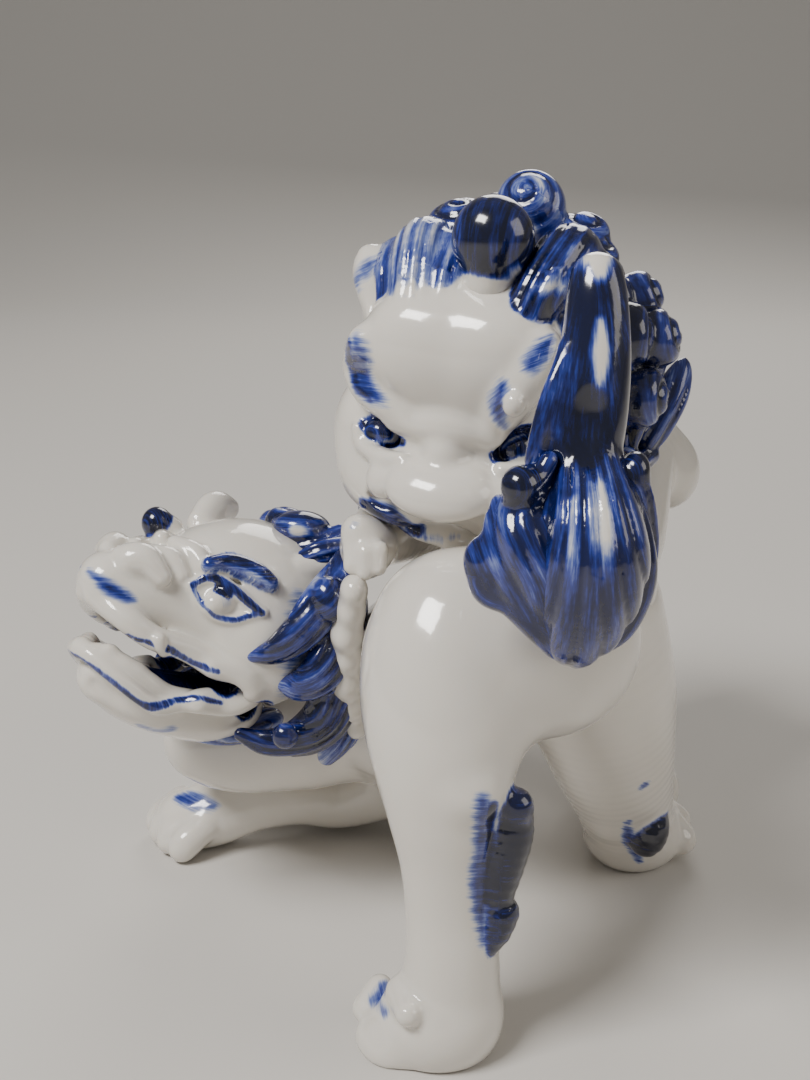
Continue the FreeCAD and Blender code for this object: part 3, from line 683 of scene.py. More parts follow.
BROW = SS(hb, (210, 565, 9), (226, 563, 10), (243, 567, 11), (258, 574, 11), (270, 583, 9), out=0.9)
MOUTH = SS(hb, (190, 676, 11), (208, 682, 13), (224, 687, 13), (237, 691, 10))
EYE_ = SS(hb, (226, 599, 20), out=-2.0)[0]
CUT_ = SS(hb, (224, 598, 20), out=0.3)[0]
RING_T = SS(hb, (193, 585, 6), (206, 580, 6), (220, 584, 7), (236, 595, 7), (250, 607, 6), (262, 613, 5), out=0.6)
RING_B = SS(hb, (193, 586, 4), (201, 601, 4.5), (215, 614, 4.5), (232, 618, 4.5), (248, 615, 4.5), (258, 613, 4), out=0.6)
PUPIL = SS(hb, (220, 590, 10), (227, 594, 8), out=0.4)
IRIS = SS(hb, (226, 600, 15), out=0.4)
tilt = A.ax(20, -8)
for sd in (1, -1):
    mm = (lambda r: r) if sd > 0 else (lambda r: mirror(A, r))
    cut, eye = mm([CUT_])[0], mm([EYE_])[0]
    hd += [
        Ball(np.array(cut[:3]), (5.6, 2.0, 3.2), A.ax(sd * 20, -12), op="sub", k=1.0),
        Ball(np.array(eye[:3]), (5.2, 2.9, 3.0), A.ax(sd * 20, -12), k=0.3),
        Chain(mm(LIDT), k=0.8), Chain(mm(LIDB), k=0.8),
        Chain(mm(BROW), k=0.9, cob=0.7, dark=0.8),
    ]
far_ = A.p(11.5, -12.0, 12.6)
hd.append(Ball(at(157, 523, far_[1]), (3.0, 3.0, 3.2), k=1.2, cob=1.0, dark=0.95))
hd.append(Ball(at(170, 528, far_[1] + 1), (2.6, 3.0, 2.2), k=1.6))
# the mouth's deep corners, cut and painted blue-black as painted shade
for sd in (1, -1):
    mm = (lambda r: r) if sd > 0 else (lambda r: mirror(A, r))
    for x, y, z, r in mm(MOUTH):
        c = np.array((x, y, z))
        hd.append(Chain([(*(c + A.l * sd * 3), r * 1.1), (*(c - A.l * sd * 4), r), (*(c - A.l * sd * 9), r)], op="sub", k=0.8, cob=1.0, dark=1.0))
hd += pair(lambda s: [Chain([(x, y, z, r * 0.75) for x, y, z, r in (lambda q: q if s > 0 else mirror(A, q))(SS(hb, (214, 669, 9), (232, 673, 10), (245, 680, 11), (252, 690, 11)))], k=2.6)])
FANG = SS(hd, (159, 640, 7), (161, 647, 6), (163, 654, 3.5))
hd += [Chain(FANG, k=0.8), Chain(mirror(A, FANG), k=0.8)]
RT = SS(hd, (193, 585, 5.5), (199, 581, 5.5), (205, 578, 5.5), (213, 578, 6), (220, 580, 6.5), (228, 585, 6.5), (236, 590, 6.5), (243, 597, 6.5), (250, 603, 6.5), (262, 613, 5.5))
RB = SS(hd, (193, 587, 4.4), (201, 602, 4.4), (208, 610, 4.4), (215, 616, 4.4), (224, 619, 4.4), (232, 620, 4.4), (240, 619, 4.4), (248, 616, 4.4), (258, 614, 4.4))
PU = SS(hd, (220, 589, 9), (228, 594, 7))
IR = SS(hd, (226, 600, 13))
SNO = SS(hd, (88, 570, 9), (97, 579, 12), (110, 588, 13), (124, 596, 12), (134, 600, 8))
BR = SS(hd, (208, 560, 10), (226, 557, 11), (244, 561, 11), (260, 568, 11), (274, 580, 9))
CH = SS(hd, (302, 600, 22), (296, 640, 26), (286, 690, 20))
LP = SS(hd, (112, 626, 6), (120, 632, 6), (127, 637, 6), (137, 640, 5), (148, 642, 5), (168, 649, 6), (177, 654, 6), (186, 659, 6), (196, 664, 6), (206, 668, 6), (218, 672, 5))
hs_ = []
for s in (1, -1):
    mm = (lambda r: r) if s > 0 else (lambda r: mirror(A, r))
    hs_ += [
        Stroke(mm(BR), 1.0, 0.95, 1.0, along=A.f),
        # the ring of the eye and the pupil
        Stroke(mm(RT), 1.0, 0.85, 0.55), Stroke(mm(RB), 0.9, 0.35, 0.45),
        Stroke(mm(PU), 1.0, 0.9, 0.5), Stroke(mm(IR), 0.34, 0.15, 1.2),
        # brushwork on the snout, the line under the lip and the blush on the cheek
        Stroke(mm(SNO), 0.74, 0.5, 2.2, along=A.f),
        Stroke(mm(LP), 0.85, 0.85, 0.7),
        Stroke(mm(CH), 0.50, 0.5, 3.4, along=A.f),
        Stroke(A.rows((-10, s * 16.5, 12.6, 2.4)), 0.5, 0.4, 1.6, along=A.f),
    ]
sculpt("lower_lion_head", hd, ["lower_lion_head", "lower_lion_left_brow", "lower_lion_right_brow", "lower_lion_left_ear", "lower_lion_right_ear",
                               "lower_lion_left_eyeball", "lower_lion_right_eyeball", "lower_lion_upper_fangs"], "white_glaze", strokes=hs_)

jw = [
    Ball(A.p(15.0, 0, -16.6), (14.8, 10.2, 6.2), A.ax(0, 16), k=3),
    Ball(A.p(4.0, 0, -17.5), (10, 11.0, 6.5), A.ax(0, 0), k=4),
    Ball(A.p(27.2, 0, -11.6), (4.4, 5.6, 4.4), A.ax(0, 10), k=2.0),
    # the hollow inside the lower jaw, painted blue-black as painted shade
    Ball(A.p(17.0, 0, -9.8), (14.5, 8.2, 5.4), A.ax(0, 16), op="sub", k=1.0, cob=0.9, dark=1.0),
]
jw += pair(lambda s: [
    Chain(A.rows((1.0, s * 12.6, -12.0, 2.3), (6.0, s * 12.6, -13.2, 2.0), (12.0, s * 12.0, -13.0, 1.7), (17.0, s * 11.0, -14.4, 1.7), (21.6, s * 10.0, -14.6, 1.8), (27.0, s * 7.6, -10.4, 1.7), (30.8, s * 3.4, -7.0, 1.8), (31.6, 0, -6.2, 1.8)), k=1.2),
    # fold under the lip
    Chain(A.rows((30.5, s * 4.0, -12.5, 1.2), (25.5, s * 8.6, -16.0, 1.3), (20.5, s * 10.4, -18.6, 1.3), (13.0, s * 11.4, -18.0, 1.3), (6.0, s * 12.0, -18.4, 1.3)), op="sub", k=2.2),
    Chain(A.rows((29.4, s * 3.0, -6.6, 2.0), (26.0, s * 6.0, -8.2, 2.1), (22.0, s * 7.8, -10.8, 2.0), (18.0, s * 8.8, -12.8, 1.6), (13.5, s * 9.6, -13.4, 1.3)), k=0.9),
    Ball(A.p(28.2, s * 4.6, -6.0), (1.5, 1.1, 1.5), A.ax(0, 20), k=1.2),
    Ball(A.p(23.6, s * 7.2, -9.0), (1.5, 1.0, 1.3), A.ax(0, 20), k=1.2),
])
CORNER = SS(jw, (200, 704, 9), (218, 707, 9), (236, 706, 9), (249, 699, 9))
# the mouth's corners cut into the jaw, painted blue-black as painted shade
jw += [Chain([(x, y, z, r * 0.85) for x, y, z, r in MOUTH[:3]] if sd > 0 else [(x, y, z, r * 0.85) for x, y, z, r in mirror(A, MOUTH[:3])], op="sub", k=1.2, cob=1.0, dark=1.0) for sd in (1, -1)]
jw += [Chain(CORNER if sd > 0 else mirror(A, CORNER), k=2.4) for sd in (1, -1)]
JL = SS(jw, (72, 655, 7), (84, 662, 7), (97, 671, 7), (110, 681, 7), (122, 691, 7), (134, 701, 7), (147, 707, 7), (162, 705, 7), (176, 700, 6), (192, 698, 6), (208, 700, 5), (222, 703, 4))
JB = SS(jw, (140, 726, 13), (156, 731, 14), (172, 729, 12))
js = []
for s in (1, -1):
    js += [
        Stroke(JL if s > 0 else mirror(A, JL), 1.0, 0.6, 0.7),
        # a grey-blue wash under the jaw, painted shade
        Stroke(JB if s > 0 else mirror(A, JB), 0.6, 0.35, 1.8, along=A.f),
    ]
sculpt("lower_lion_lower_jaw", jw, ["lower_lion_lower_jaw", "lower_lion_lower_teeth"], "white_glaze", strokes=js)
# the tongue is painted dark blue as painted shade inside the mouth; its tip is left white
sculpt("lower_lion_tongue", [
    Chain(A.rows((4, 0, -14.6, 4.6), (12, 0, -14.0, 5.0), (19, 0, -12.6, 4.8), (24.5, 0, -9.0, 3.2)), flat=(A.u, 2.0), k=1.0, cob=0.9, dark=0.9),
    Chain(A.rows((8, 0, -11.6, 0.8), (16, 0, -10.4, 0.8), (23, 0, -6.4, 0.8)), op="sub", k=0.8)],
    ["lower_lion_tongue"], "tongue_glaze", strokes=[Stroke(A.rows((26, 0, -7.5, 6.0)), -1, 0, 3.0)])

# ------------------------------------------------------------------ lower lion: mane, beard, ridge, elbows
NEAR = A.l
cheekL = [
    lock(S((356, 548, 48, 14), (344, 572, 44, 22), (326, 600, 40, 26), (304, 628, 37.5, 24), (276, 650, 37, 15), (252, 656, 37.5, 7)), NEAR, pitch=2.4, dark=0.8, cob=0.75),
    lock(S((352, 596, 46, 16), (342, 636, 42, 24), (326, 668, 39, 26), (302, 684, 38.5, 18), (284, 684, 39, 8)), NEAR, pitch=2.2, dark=0.85),
    Ball(at(330, 600, 37), (3.2, 2.6, 4.2), screen_ax(20), k=0.9, cob=1.0, dark=0.9),
    Ball(at(346, 585, 41), (2.6, 2.6, 3.6), screen_ax(0), k=0.9, cob=0.8, dark=0.7),
    lock(S((346, 660, 46, 22), (338, 692, 43, 30), (322, 722, 42, 28), (296, 738, 41, 20), (266, 742, 40, 14), (240, 734, 40, 7)), NEAR, pitch=1.9, amp=0.5, dark=0.95),
    lock(S((352, 700, 48, 18), (344, 730, 46, 20), (328, 754, 46, 12)), NEAR, pitch=1.6, dark=0.9, cob=0.6),
    Ball(at(285, 736, 36.5), (2.5, 2.2, 2.5), k=0.8, cob=1.0, dark=0.6),
]
for (f, l, u), r in (((-16, 13, 4), 6.0), ((-20, 9.5, -3), 6.4), ((-18, 12, -12), 6.0)):
    cheekL.append(snail(A.p(f, l, u), (A.p(f, l, u) - A.p(-4, 0, 0)), r, 0.7))
sculpt("lower_lion_mane_left_cheek", cheekL, ["lower_lion_mane_left_cheek"], "cobalt_streaked_glaze")
cheekR = []
for (f, l, u), r, hd_ in (((-10, -16.5, 1), 5.8, 1), ((-9, -17, -9), 5.8, -1), ((-3, -15.5, -16), 5.4, 1), ((-17, -14, -4), 6.4, -1), ((-15, -13.5, -14), 6.2, 1), ((-17, -12, 6), 6.2, 1)):
    cheekR.append(snail(A.p(f, l, u), (A.p(f, l, u) - A.p(-3, 0, -2)), r, 0.75, hand=hd_))
cheekR += [lock(A.rows((-12, -17, 6, 3), (-4, -19.0, 2, 4.2), (3, -19, -2, 3.6), (9, -17.0, -4, 1.4)), -A.l), lock(A.rows((-10, -17, -8, 3), (-3, -18.5, -9, 4.0), (4, -17.0, -12, 2.6), (8, -15, -14, 1.2)), -A.l)]
sculpt("lower_lion_mane_right_cheek", cheekR, ["lower_lion_mane_right_cheek"], "cobalt_streaked_glaze")
crown = [
    Ball(at(302, 528, 58), (5.6, 5.0, 3.4), screen_ax(-4), k=1.0, cob=0.75, dark=0.8, hair={"kind": "comb", "apex": at(302, 528, 58), "dir": (1, 0, 0), "n": TOCAM, "pitch": 2.4, "amp": 0.0}),
    lock(S((300, 560, 50, 8), (322, 552, 50, 13), (345, 548, 52, 12)), TOCAM, pitch=1.8),
    lock(S((258, 540, 58, 7), (280, 548, 56, 10), (312, 545, 54, 11), (340, 536, 56, 12)), TOCAM, pitch=1.8),
    snail(A.p(-13, -6, 15), A.p(-13, -6, 15) - A.p(-4, 0, 0), 6.2, 0.7, hand=-1),
    snail(A.p(-19, 1, 10), A.p(-19, 1, 10) - A.p(-4, 0, 0), 6.2, 0.7),
    snail(A.p(-20, -9, 6), A.p(-20, -9, 6) - A.p(-4, 0, 0), 6.0, 0.7, hand=-1),
    snail(A.p(-8, 1, 17.5), A.p(-8, 1, 17.5) - A.p(-4, 0, 0), 4.6, 0.7),
]
sculpt("lower_lion_mane_crown", crown, ["lower_lion_mane_crown"], "cobalt_streaked_glaze",
       strokes=[Stroke(S((292, 532, 52, 12), (310, 532, 52, 10)), -1, 0, 1.2)])
beard = [lock(A.rows((-6, s * 6.0, -19.5, 3.0), (0, s * 5.5, -22.0, 3.6), (6.0, s * 4.0, -22.6, 3.0), (10, s * 2.0, -21.6, 1.2)), -A.u, pitch=1.7, cob=0.6, dark=0.6) for s in (1, -1)]
beard.append(lock(A.rows((-6, 0, -20.0, 3.0), (-1, 0, -23.4, 3.6), (5.0, 0, -24.0, 2.6), (9, 0, -22.6, 1.2)), -A.u, pitch=1.7, cob=0.6, dark=0.6))
sculpt("lower_lion_beard", beard, ["lower_lion_beard"], "cobalt_streaked_glaze")
ridge = []
for i, (u, v, y, r) in enumerate(((354, 590, 34, 15), (351, 611, 36, 16), (347, 634, 38, 18), (348, 658, 40, 16), (346, 682, 42, 18), (351, 705, 44, 16), (356, 725, 46, 13))):
    p = at(u, v, y)
    ridge.append(Ball(p, r * scale(p) * np.array((0.95, 1.3, 1.1)), screen_ax(0), k=2.6))
# a faint grey-blue along the ridge is painted shade; the ridge itself is unpainted white
sculpt("lower_lion_spine_ridge", ridge, ["lower_lion_spine_ridge"], "white_glaze",
       strokes=[Stroke(S((356, 640, 36, 5), (357, 690, 40, 5)), 0.25, 0.3, 1.5, along=(0, 0, 1))])
for side, nm, sp in ((0, "lower_lion_left_elbow_tuft", (8.5, 78.0)), (1, "lower_lion_right_elbow_tuft", (6.0, 94.0))):
    x, y = sp
    el = [lock([(x - 4, y, 24, 3.0), (x + 1, y, 22, 4.2), (x + 5.5, y, 18, 3.4), (x + 8, y, 13, 1.6)], (0, -1, 0), pitch=1.7),
          lock([(x - 5, y, 18, 3.0), (x - 1, y, 15, 4.0), (x + 4, y, 11, 3.0), (x + 6, y, 8, 1.4)], (0, -1, 0), pitch=1.7)]
    sculpt(nm, el, [nm], "cobalt_streaked_glaze")

# ------------------------------------------------------------------ lower lion: tail
APEX = at(583, 350, 0)
fan = {"kind": "fan", "apex": APEX, "dir": (-0.02, 0, -1), "n": TOCAM, "pitch": 3.0, "r1": 31.0, "amp": 0.55, "bend": 0.0}
tail = [
    Chain(S((597, 279, 6, 27), (597, 300, 5, 31), (596, 345, 4, 35), (592, 388, 3, 38), (584, 425, 2, 42), (578, 455, 2, 42)), k=2.0, cob=0.97, dark=0.85,
          hair={"kind": "fan", "apex": at(597, 200, 0), "dir": (-0.05, 0, -1), "n": TOCAM, "pitch": 5.0, "r1": 20.0, "amp": 0.0}),
    # the thin edge that flares to the left of the stem
    Chain(S((566, 350, 2, 7), (556, 376, 0, 8), (547, 402, -1, 9), (538, 436, -2, 9), (534, 462, -2, 10)), k=2.4, cob=0.9, dark=0.8),
    Chain([(27, 14, 82, 6.0), (27, 8, 83, 8.0)] + S((582, 560, 2, 52), (583, 500, 0, 44)), k=3, cob=0.9, dark=0.7, hair=fan),
    Chain(S((592, 484, -2, 38), (592, 530, -6, 56), (590, 575, -7, 58), (580, 620, -5, 44), (573, 652, -4, 18)), k=2.5, cob=0.84, dark=0.65, hair=fan),
    lock(S((622, 500, -2, 20), (634, 540, -3, 20), (634, 580, -3, 24), (618, 622, -2, 20), (596, 648, -2, 10)), TOCAM, pitch=2.6, k=1.2, cob=0.95, dark=0.7, flat=1.2),
    Ball(at(588, 424, -6.4), (5.0, 4.6, 6.0), screen_ax(0), op="sub", k=1.8, cob=0.95, dark=1.0),
    Chain(S((559, 385, -4.2, 6), (553, 415, -4.6, 7), (550, 445, -4.6, 7)), op="sub", k=1.6),
]
sculpt("lower_lion_tail_plume", tail, ["lower_lion_tail_plume"], "cobalt_streaked_glaze", strokes=[
    Stroke(SS(tail, (597, 256, 24), (600, 271, 18)), -1, 0, 2.6),
    # painted highlight: a white strip down the middle of the stem
    Stroke(SS(tail, (600, 322, 9), (602, 352, 14), (600, 384, 8)), -1, 0, 2.0),
    # painted highlight: a broad white strip down the middle of the plume
    Stroke(SS(tail, (600, 486, 13), (604, 525, 19), (602, 570, 16), (592, 608, 9)), -1, 0, 3.0),
    Stroke(SS(tail, (572, 500, 9), (570, 540, 10), (574, 580, 8)), -1, 0, 2.4),
])
curlL = [
    Ball(at(521, 486, -6), (3.0, 3.0, 3.1), k=0.7, cob=1.0, dark=0.95),
    lock(S((548, 462, -4, 12), (524, 512, -5, 24), (530, 542, -7, 32), (548, 580, -8, 30), (562, 622, -7, 18)), TOCAM, pitch=3.2, amp=0.45, k=1.8, cob=0.85, dark=0.7, flat=1.1),
    lock(S((500, 508, -3, 14), (508, 545, -5, 26), (524, 580, -6, 28), (546, 618, -6, 20), (566, 655, -5, 8)), TOCAM, pitch=3.0, amp=0.45, k=1.4, cob=0.85, dark=0.65, flat=1.1),
    Ball(at(489, 558, -4), (3.7, 3.4, 3.7), k=1.4, cob=0.95, dark=0.75),
    lock(S((488, 570, -4, 22), (492, 586, -4, 22), (514, 596, -5, 22), (538, 618, -6, 22), (556, 644, -5, 14)), TOCAM, pitch=2.8, amp=0.45, k=1.8, cob=0.85, dark=0.65, flat=1.1),
]
sculpt("lower_lion_tail_left_curls", curlL, ["lower_lion_tail_left_curls"], "cobalt_streaked_glaze")
curlR = [
    Ball(at(635, 471, 0), (2.3, 2.8, 3.0), k=0.8, cob=1.0, dark=0.95),
    lock(S((618, 470, -1, 10), (636, 488, -1, 14), (643, 520, 0, 15), (645, 560, 1, 13), (636, 595, 1, 8)), TOCAM, pitch=2.2, k=1.2, dark=0.7, flat=1.1),
]
sculpt("lower_lion_tail_right_curls", curlR, ["lower_lion_tail_right_curls"], "cobalt_streaked_glaze")

# ------------------------------------------------------------------ upper lion: head
uh = [
    Ball(B.p(-2, 0, 3), (20, 22.0, 19.0), B.ax(), k=4),
    Ball(B.p(5.0, 0, 11.5), (14.0, 17.5, 12.0), B.ax(), k=5),
    Ball(B.p(10.5, 0, -11), (11, 17.5, 10.5), B.ax(), k=4),
    Ball(B.p(21.3, 0, -9.1), (7.2, 10.0, 4.8), B.ax(0, -14), k=1.3),
    Ball(B.p(18.4, 0, -3.4), (3.6, 3.4, 3.0), B.ax(), k=2.2),
]
uh += pair(lambda s: [
    Ball(B.p(4.5, s * 17.5, -9), (9.5, 7.6, 9.5), B.ax(), k=4),
    Ball(B.p(11.0, s * 10.0, -18.0), (8.5, 8.0, 5.4), B.ax(0, 0, s * 10), k=3),
    Ball(B.p(18.8, s * 9.7, -10.6), (5.0, 4.3, 4.0), B.ax(s * 14), k=1.2),
    Ball(B.p(8.0, s * 15.5, -15.5), (8.5, 7.5, 8.0), B.ax(), k=4),
    # frontal boss
    Ball(B.p(12.5, s * 7.5, 11.5), (6.0, 8.5, 8.5), B.ax(), k=4),
    # ear
    Chain(B.rows((4.0, s * 13.5, 12.5, 5.2), (2.0, s * 16.4, 16.0, 5.2), (0.5, s * 18.6, 18.4, 4.4), (-0.2, s * 19.8, 20.4, 2.8)), flat=(B.f, 1.25), k=2.2),
    Chain(B.rows((8.0, s * 15.6, 14.4, 1.0), (6.2, s * 17.6, 18.4, 1.4), (4.2, s * 18.8, 20.6, 0.9)), op="sub", k=1.8),
    # the cut under the nose wing
    Chain(B.rows((23.5, 0, -13.6, 1.9), (23.0, s * 4.2, -14.2, 2.2), (21.0, s * 9.0, -15.3, 2.3), (17.0, s * 13.0, -15.8, 1.5)), op="sub", k=1.3),
])
ub_ = list(uh)
WET = (1, 0, -0.18)
# brows, sockets, eyes and lids, seen from the front: right side of the lion first, then its left
BRS = [SS(ub_, (364, 342, 17), (365, 364, 23), (374, 386, 23), (390, 402, 19), (405, 409, 12), out=-0.9),
       SS(ub_, (545, 346, 16), (534, 370, 20), (516, 394, 21), (504, 412, 18), (496, 424, 12), out=-0.9)]
SOCK = [(SS(ub_, (383, 431, 20), out=0.6)[0], -22), (SS(ub_, (519, 446, 20), out=0.6)[0], 24)]
BALL = [SS(ub_, (383, 433, 20), out=-2.4)[0], SS(ub_, (517, 448, 20), out=-2.4)[0]]
LIDS = [SS(ub_, (358, 428, 6), (364, 445, 8), (382, 457, 9), (402, 459, 7), out=0.2),
        SS(ub_, (546, 442, 6), (538, 459, 8), (520, 469, 9), (502, 470, 7), out=0.2)]
for i in (0, 1):
    c, a = SOCK[i]
    uh += [
        # the socket cut is painted blue-black as painted shade; the eyeball inside is painted dark
        Ball(np.array(c[:3]), (4.5, 3.6, 2.7), screen_ax(a), op="sub", k=1.0, cob=0.9, dark=1.0),
        Ball(np.array(BALL[i][:3]), (3.2, 3.0, 2.6), screen_ax(a), k=0.3, cob=0.95, dark=1.0),
        Chain(LIDS[i], k=1.2),
        Chain(BRS[i], k=2.2),
    ]
uh += [Ball(np.array(SS(uh, (514, 404, 9), out=0.2)[0][:3]), (1.9, 1.9, 2.2), k=0.8),
       Chain(SS(ub_, (398, 420, 10), (420, 424, 12), (440, 424, 12), (462, 428, 12), (490, 436, 10), out=0.2), k=2.5)]
uj = [Ball(B.p(6.0, 0, -20.5), (11.0, 13.0, 5.0), B.ax(0, 6), k=2)] + pair(lambda s: [
    Chain(B.rows((17.0, 0, -22.4, 1.8), (15.6, s * 6.5, -22.6, 1.8), (11.0, s * 12.0, -22.2, 1.8), (4.0, s * 14.5, -21, 2.0)), k=1.2)])
SMUDGE = [Stroke(SS(uh + uj, (366, 506, 14), (378, 512, 17), (392, 519, 18), (406, 526, 16), (418, 531, 12)), 0.95, 0.85, 1.6, along=(1, 0, -0.5)),
          Stroke(SS(uh + uj, (372, 514, 10), (382, 520, 14), (394, 527, 15), (408, 534, 12)), 0.85, 0.75, 2.2, along=(1, 0, -0.5)),
          Stroke(SS(uh + uj, (420, 537, 11), (438, 539, 12), (456, 537, 9)), 0.55, 0.7, 2.2, along=(0, 0, 1))]
uh += [
    # brushed locks that rise from the hairline on both sides of the forelock
    Chain(B.rows((12.0, -8.0, 16.5, 1.6), (8.5, -8.6, 20.5, 4.2), (1.5, -9.6, 24.4, 5.2), (-5, -10, 22.0, 4.6)), k=1.8, cob=0.50, dark=0.6, hair={"kind": "lock", "n": B.f * 0.5 + B.u, "pitch": 2.2, "amp": 0.5, "ph": 0.5}),
    Chain(B.rows((9.0, -13.0, 15.5, 1.6), (4.0, -14.2, 20.0, 3.6), (-2, -15.0, 20.5, 4.0)), k=1.8, cob=0.60, dark=0.7, hair={"kind": "lock", "n": B.f * 0.5 + B.u, "pitch": 2.2, "amp": 0.5, "ph": 0.5}),
    Chain(B.rows((11.5, -3.4, 19.0, 1.4), (8.0, -3.6, 22.8, 2.8), (2.0, -3.8, 25.0, 3.4)), k=1.6, cob=0.56, dark=0.7, hair={"kind": "lock", "n": B.f * 0.5 + B.u, "pitch": 2.2, "amp": 0.5, "ph": 0.5}),
    Chain(B.rows((11.5, 10.5, 17.5, 1.6), (7.5, 12.0, 21.6, 4.2), (0, 14.5, 25.3, 5.4), (-6, 14.5, 23.5, 5.0)), k=1.8, cob=0.78, dark=0.9, hair={"kind": "lock", "n": B.f * 0.5 + B.u, "pitch": 2.2, "amp": 0.5, "ph": 0.5}),
    Chain(B.rows((7.0, 16.5, 15.5, 1.6), (3.0, 18.0, 19.5, 3.8), (-3, 19.5, 21.0, 4.6)), k=1.8, cob=0.8, dark=0.9, hair={"kind": "lock", "n": B.f * 0.5 + B.u, "pitch": 2.2, "amp": 0.5, "ph": 0.5}),
]
us = [
    # scalloped strokes on the outer half of each brow
    Stroke(SS(uh, (355, 338, 19), (359, 354, 26), (361, 371, 27), (367, 388, 25), (379, 400, 19), (391, 407, 12)), 0.72, 0.7, 3.6, along=WET),
    Stroke(SS(uh, (349, 344, 14), (350, 362, 16), (356, 382, 15), (370, 399, 12)), 0.86, 0.8, 2.2, along=WET),
    Stroke(SS(uh, (552, 338, 15), (543, 350, 21), (532, 365, 21)), 0.76, 0.8, 3.0, along=(0.9, 0, 0.35)),
    Stroke(SS(uh, (502, 386, 16), (498, 402, 20), (499, 418, 18), (507, 429, 12)), 0.76, 0.7, 3.0, along=(0.8, 0, 0.6)),
    Stroke(SS(uh, (515, 403, 11)), -1, 0, 1.0),
    # the fringe thins out into white at its roots
    Stroke(SS(uh, (398, 292, 15), (420, 292, 15), (446, 290, 12)), -1, 0, 3.4), Stroke(SS(uh, (540, 288, 12), (560, 286, 14)), -1, 0, 3.4),
    # soft shade in the sockets
    Stroke(SS(uh, (364, 424, 10), (384, 431, 13), (402, 441, 9)), 1.0, 1.0, 1.2),
    Stroke(SS(uh, (500, 457, 9), (518, 447, 13), (536, 437, 10)), 1.0, 1.0, 1.2),
    # brushed fringe along the hairline
    Stroke(SS(uh, (404, 268, 9), (420, 270, 9), (438, 276, 8), (452, 280, 6)), 0.62, 0.5, 2.4, along=(0.1, 0, 1)),
    Stroke(SS(uh, (536, 280, 6), (552, 278, 9), (570, 276, 10)), 0.62, 0.6, 2.4, along=(0.1, 0, 1)),
]
for s in (1, -1):
    o_ = B.p(0, s * 1, 0) - B.p(0, 0, 0)
    us += [Stroke(B.rows((3.5, s * 18.6, 21.5, 3.0), (3.0, s * 20.6, 17.5, 3.0), (4.5, s * 18.6, 16.0, 2.0)), 0.62, 0.4, 2.4, along=o_ * 0.8 - 0.5 * B.u)]
sculpt("upper_lion_head", uh, ["upper_lion_head", "upper_lion_left_brow", "upper_lion_right_brow", "upper_lion_left_ear", "upper_lion_right_ear",
                               "upper_lion_left_eyeball", "upper_lion_right_eyeball"], "white_glaze", strokes=us + SMUDGE)
sculpt("upper_lion_lower_jaw", uj, ["upper_lion_lower_jaw"], "white_glaze", strokes=SMUDGE)
sculpt("upper_lion_beard", [lock(B.rows((2, s * 5, -24, 2.8), (8, s * 4.5, -25.4, 2.8), (13.5, s * 3.5, -24.6, 1.4)), -B.u, pitch=1.7) for s in (1, -1)], ["upper_lion_beard"], "cobalt_streaked_glaze")

# ------------------------------------------------------------------ upper lion: mane
fc = B.p(5, 3.4, 29.2)
sculpt("upper_lion_forelock", [Ball(fc, (6.6, 6.9, 7.3), B.ax(), k=1, cob=0.80, dark=0.95, hair={"kind": "comb", "apex": fc, "dir": B.u, "n": B.f, "pitch": 3.0, "amp": 0.0}),
                               Chain(B.rows((7.5, 3.2, 22.6, 3.8)), k=2.5)],
       ["upper_lion_forelock"], "cobalt_streaked_glaze",
       strokes=[Stroke(B.rows((9, 3.2, 20.2, 6.6)), -1, 0, 2.8), Stroke(B.rows((9, 9.4, 24.5, 3.6)), -1, 0, 3.2)])


def flame(rows, n, **kw):
    return lock(rows, n, **kw)


HC = B.p(-2, 0, 3)
cr = [
    Ball(B.p(-12, 5.0, 28.4), (6.4, 6.2, 6.6), B.ax(), k=1.5, cob=0.7, dark=0.9, hair={"kind": "snail", "c": B.p(-12, 5.0, 28.4), "n": B.f * 0.6 + B.u * 0.8, "pitch": 3.2, "amp": 0.5}),
    snail(B.p(-11, -7, 23.5), B.u - 0.2 * B.l, 6.6, 0.8, hand=-1),
    snail(B.p(-9, 17, 21.5), B.u + 0.5 * B.l, 5.4, 0.8, hand=-1),
    snail(B.p(-13, 14.5, 24.0), B.u + 0.3 * B.l, 5.2, 0.8, hand=1),
    snail(B.p(-19, -1.5, 22.5), B.u - 0.8 * B.f, 7.0, 0.7, hand=1),
    snail(B.p(-18, 10.5, 20.0), B.u - 0.8 * B.f + 0.4 * B.l, 7.0, 0.7, hand=-1),
    snail(B.p(-17, -13, 16.5), B.u - 0.7 * B.f - 0.6 * B.l, 7.0, 0.7, hand=1),
    snail(B.p(-24.5, 4, 13.0), 0.3 * B.u - B.f, 7.4, 0.7, hand=1),
    snail(B.p(-24, -8.5, 10.5), 0.3 * B.u - B.f - 0.3 * B.l, 7.2, 0.7, hand=-1),
]
for a, e, hn in ((-26, 8, 1), (6, 0, -1), (36, 6, 1), (-12, -28, -1), (20, -30, 1), (50, -24, -1), (-44, -18, 1), (-58, 14, -1), (62, 18, 1)):
    ra, re_ = math.radians(a), math.radians(e)
    d = (-math.cos(re_) * math.cos(ra), math.cos(re_) * math.sin(ra), math.sin(re_))
    cr.append(snail(B.p(-2 + 20.5 * d[0], 22.5 * d[1], 3 + 19.5 * d[2]), B.f * d[0] + B.l * d[1] + B.u * d[2], 6.6, 0.75, hand=hn))
sculpt("upper_lion_mane_crown", cr, ["upper_lion_mane_crown"], "cobalt_streaked_glaze", strokes=[Stroke(B.rows((-5.5, 4.5, 26.0, 4.5)), -1, 0, 2.5)])
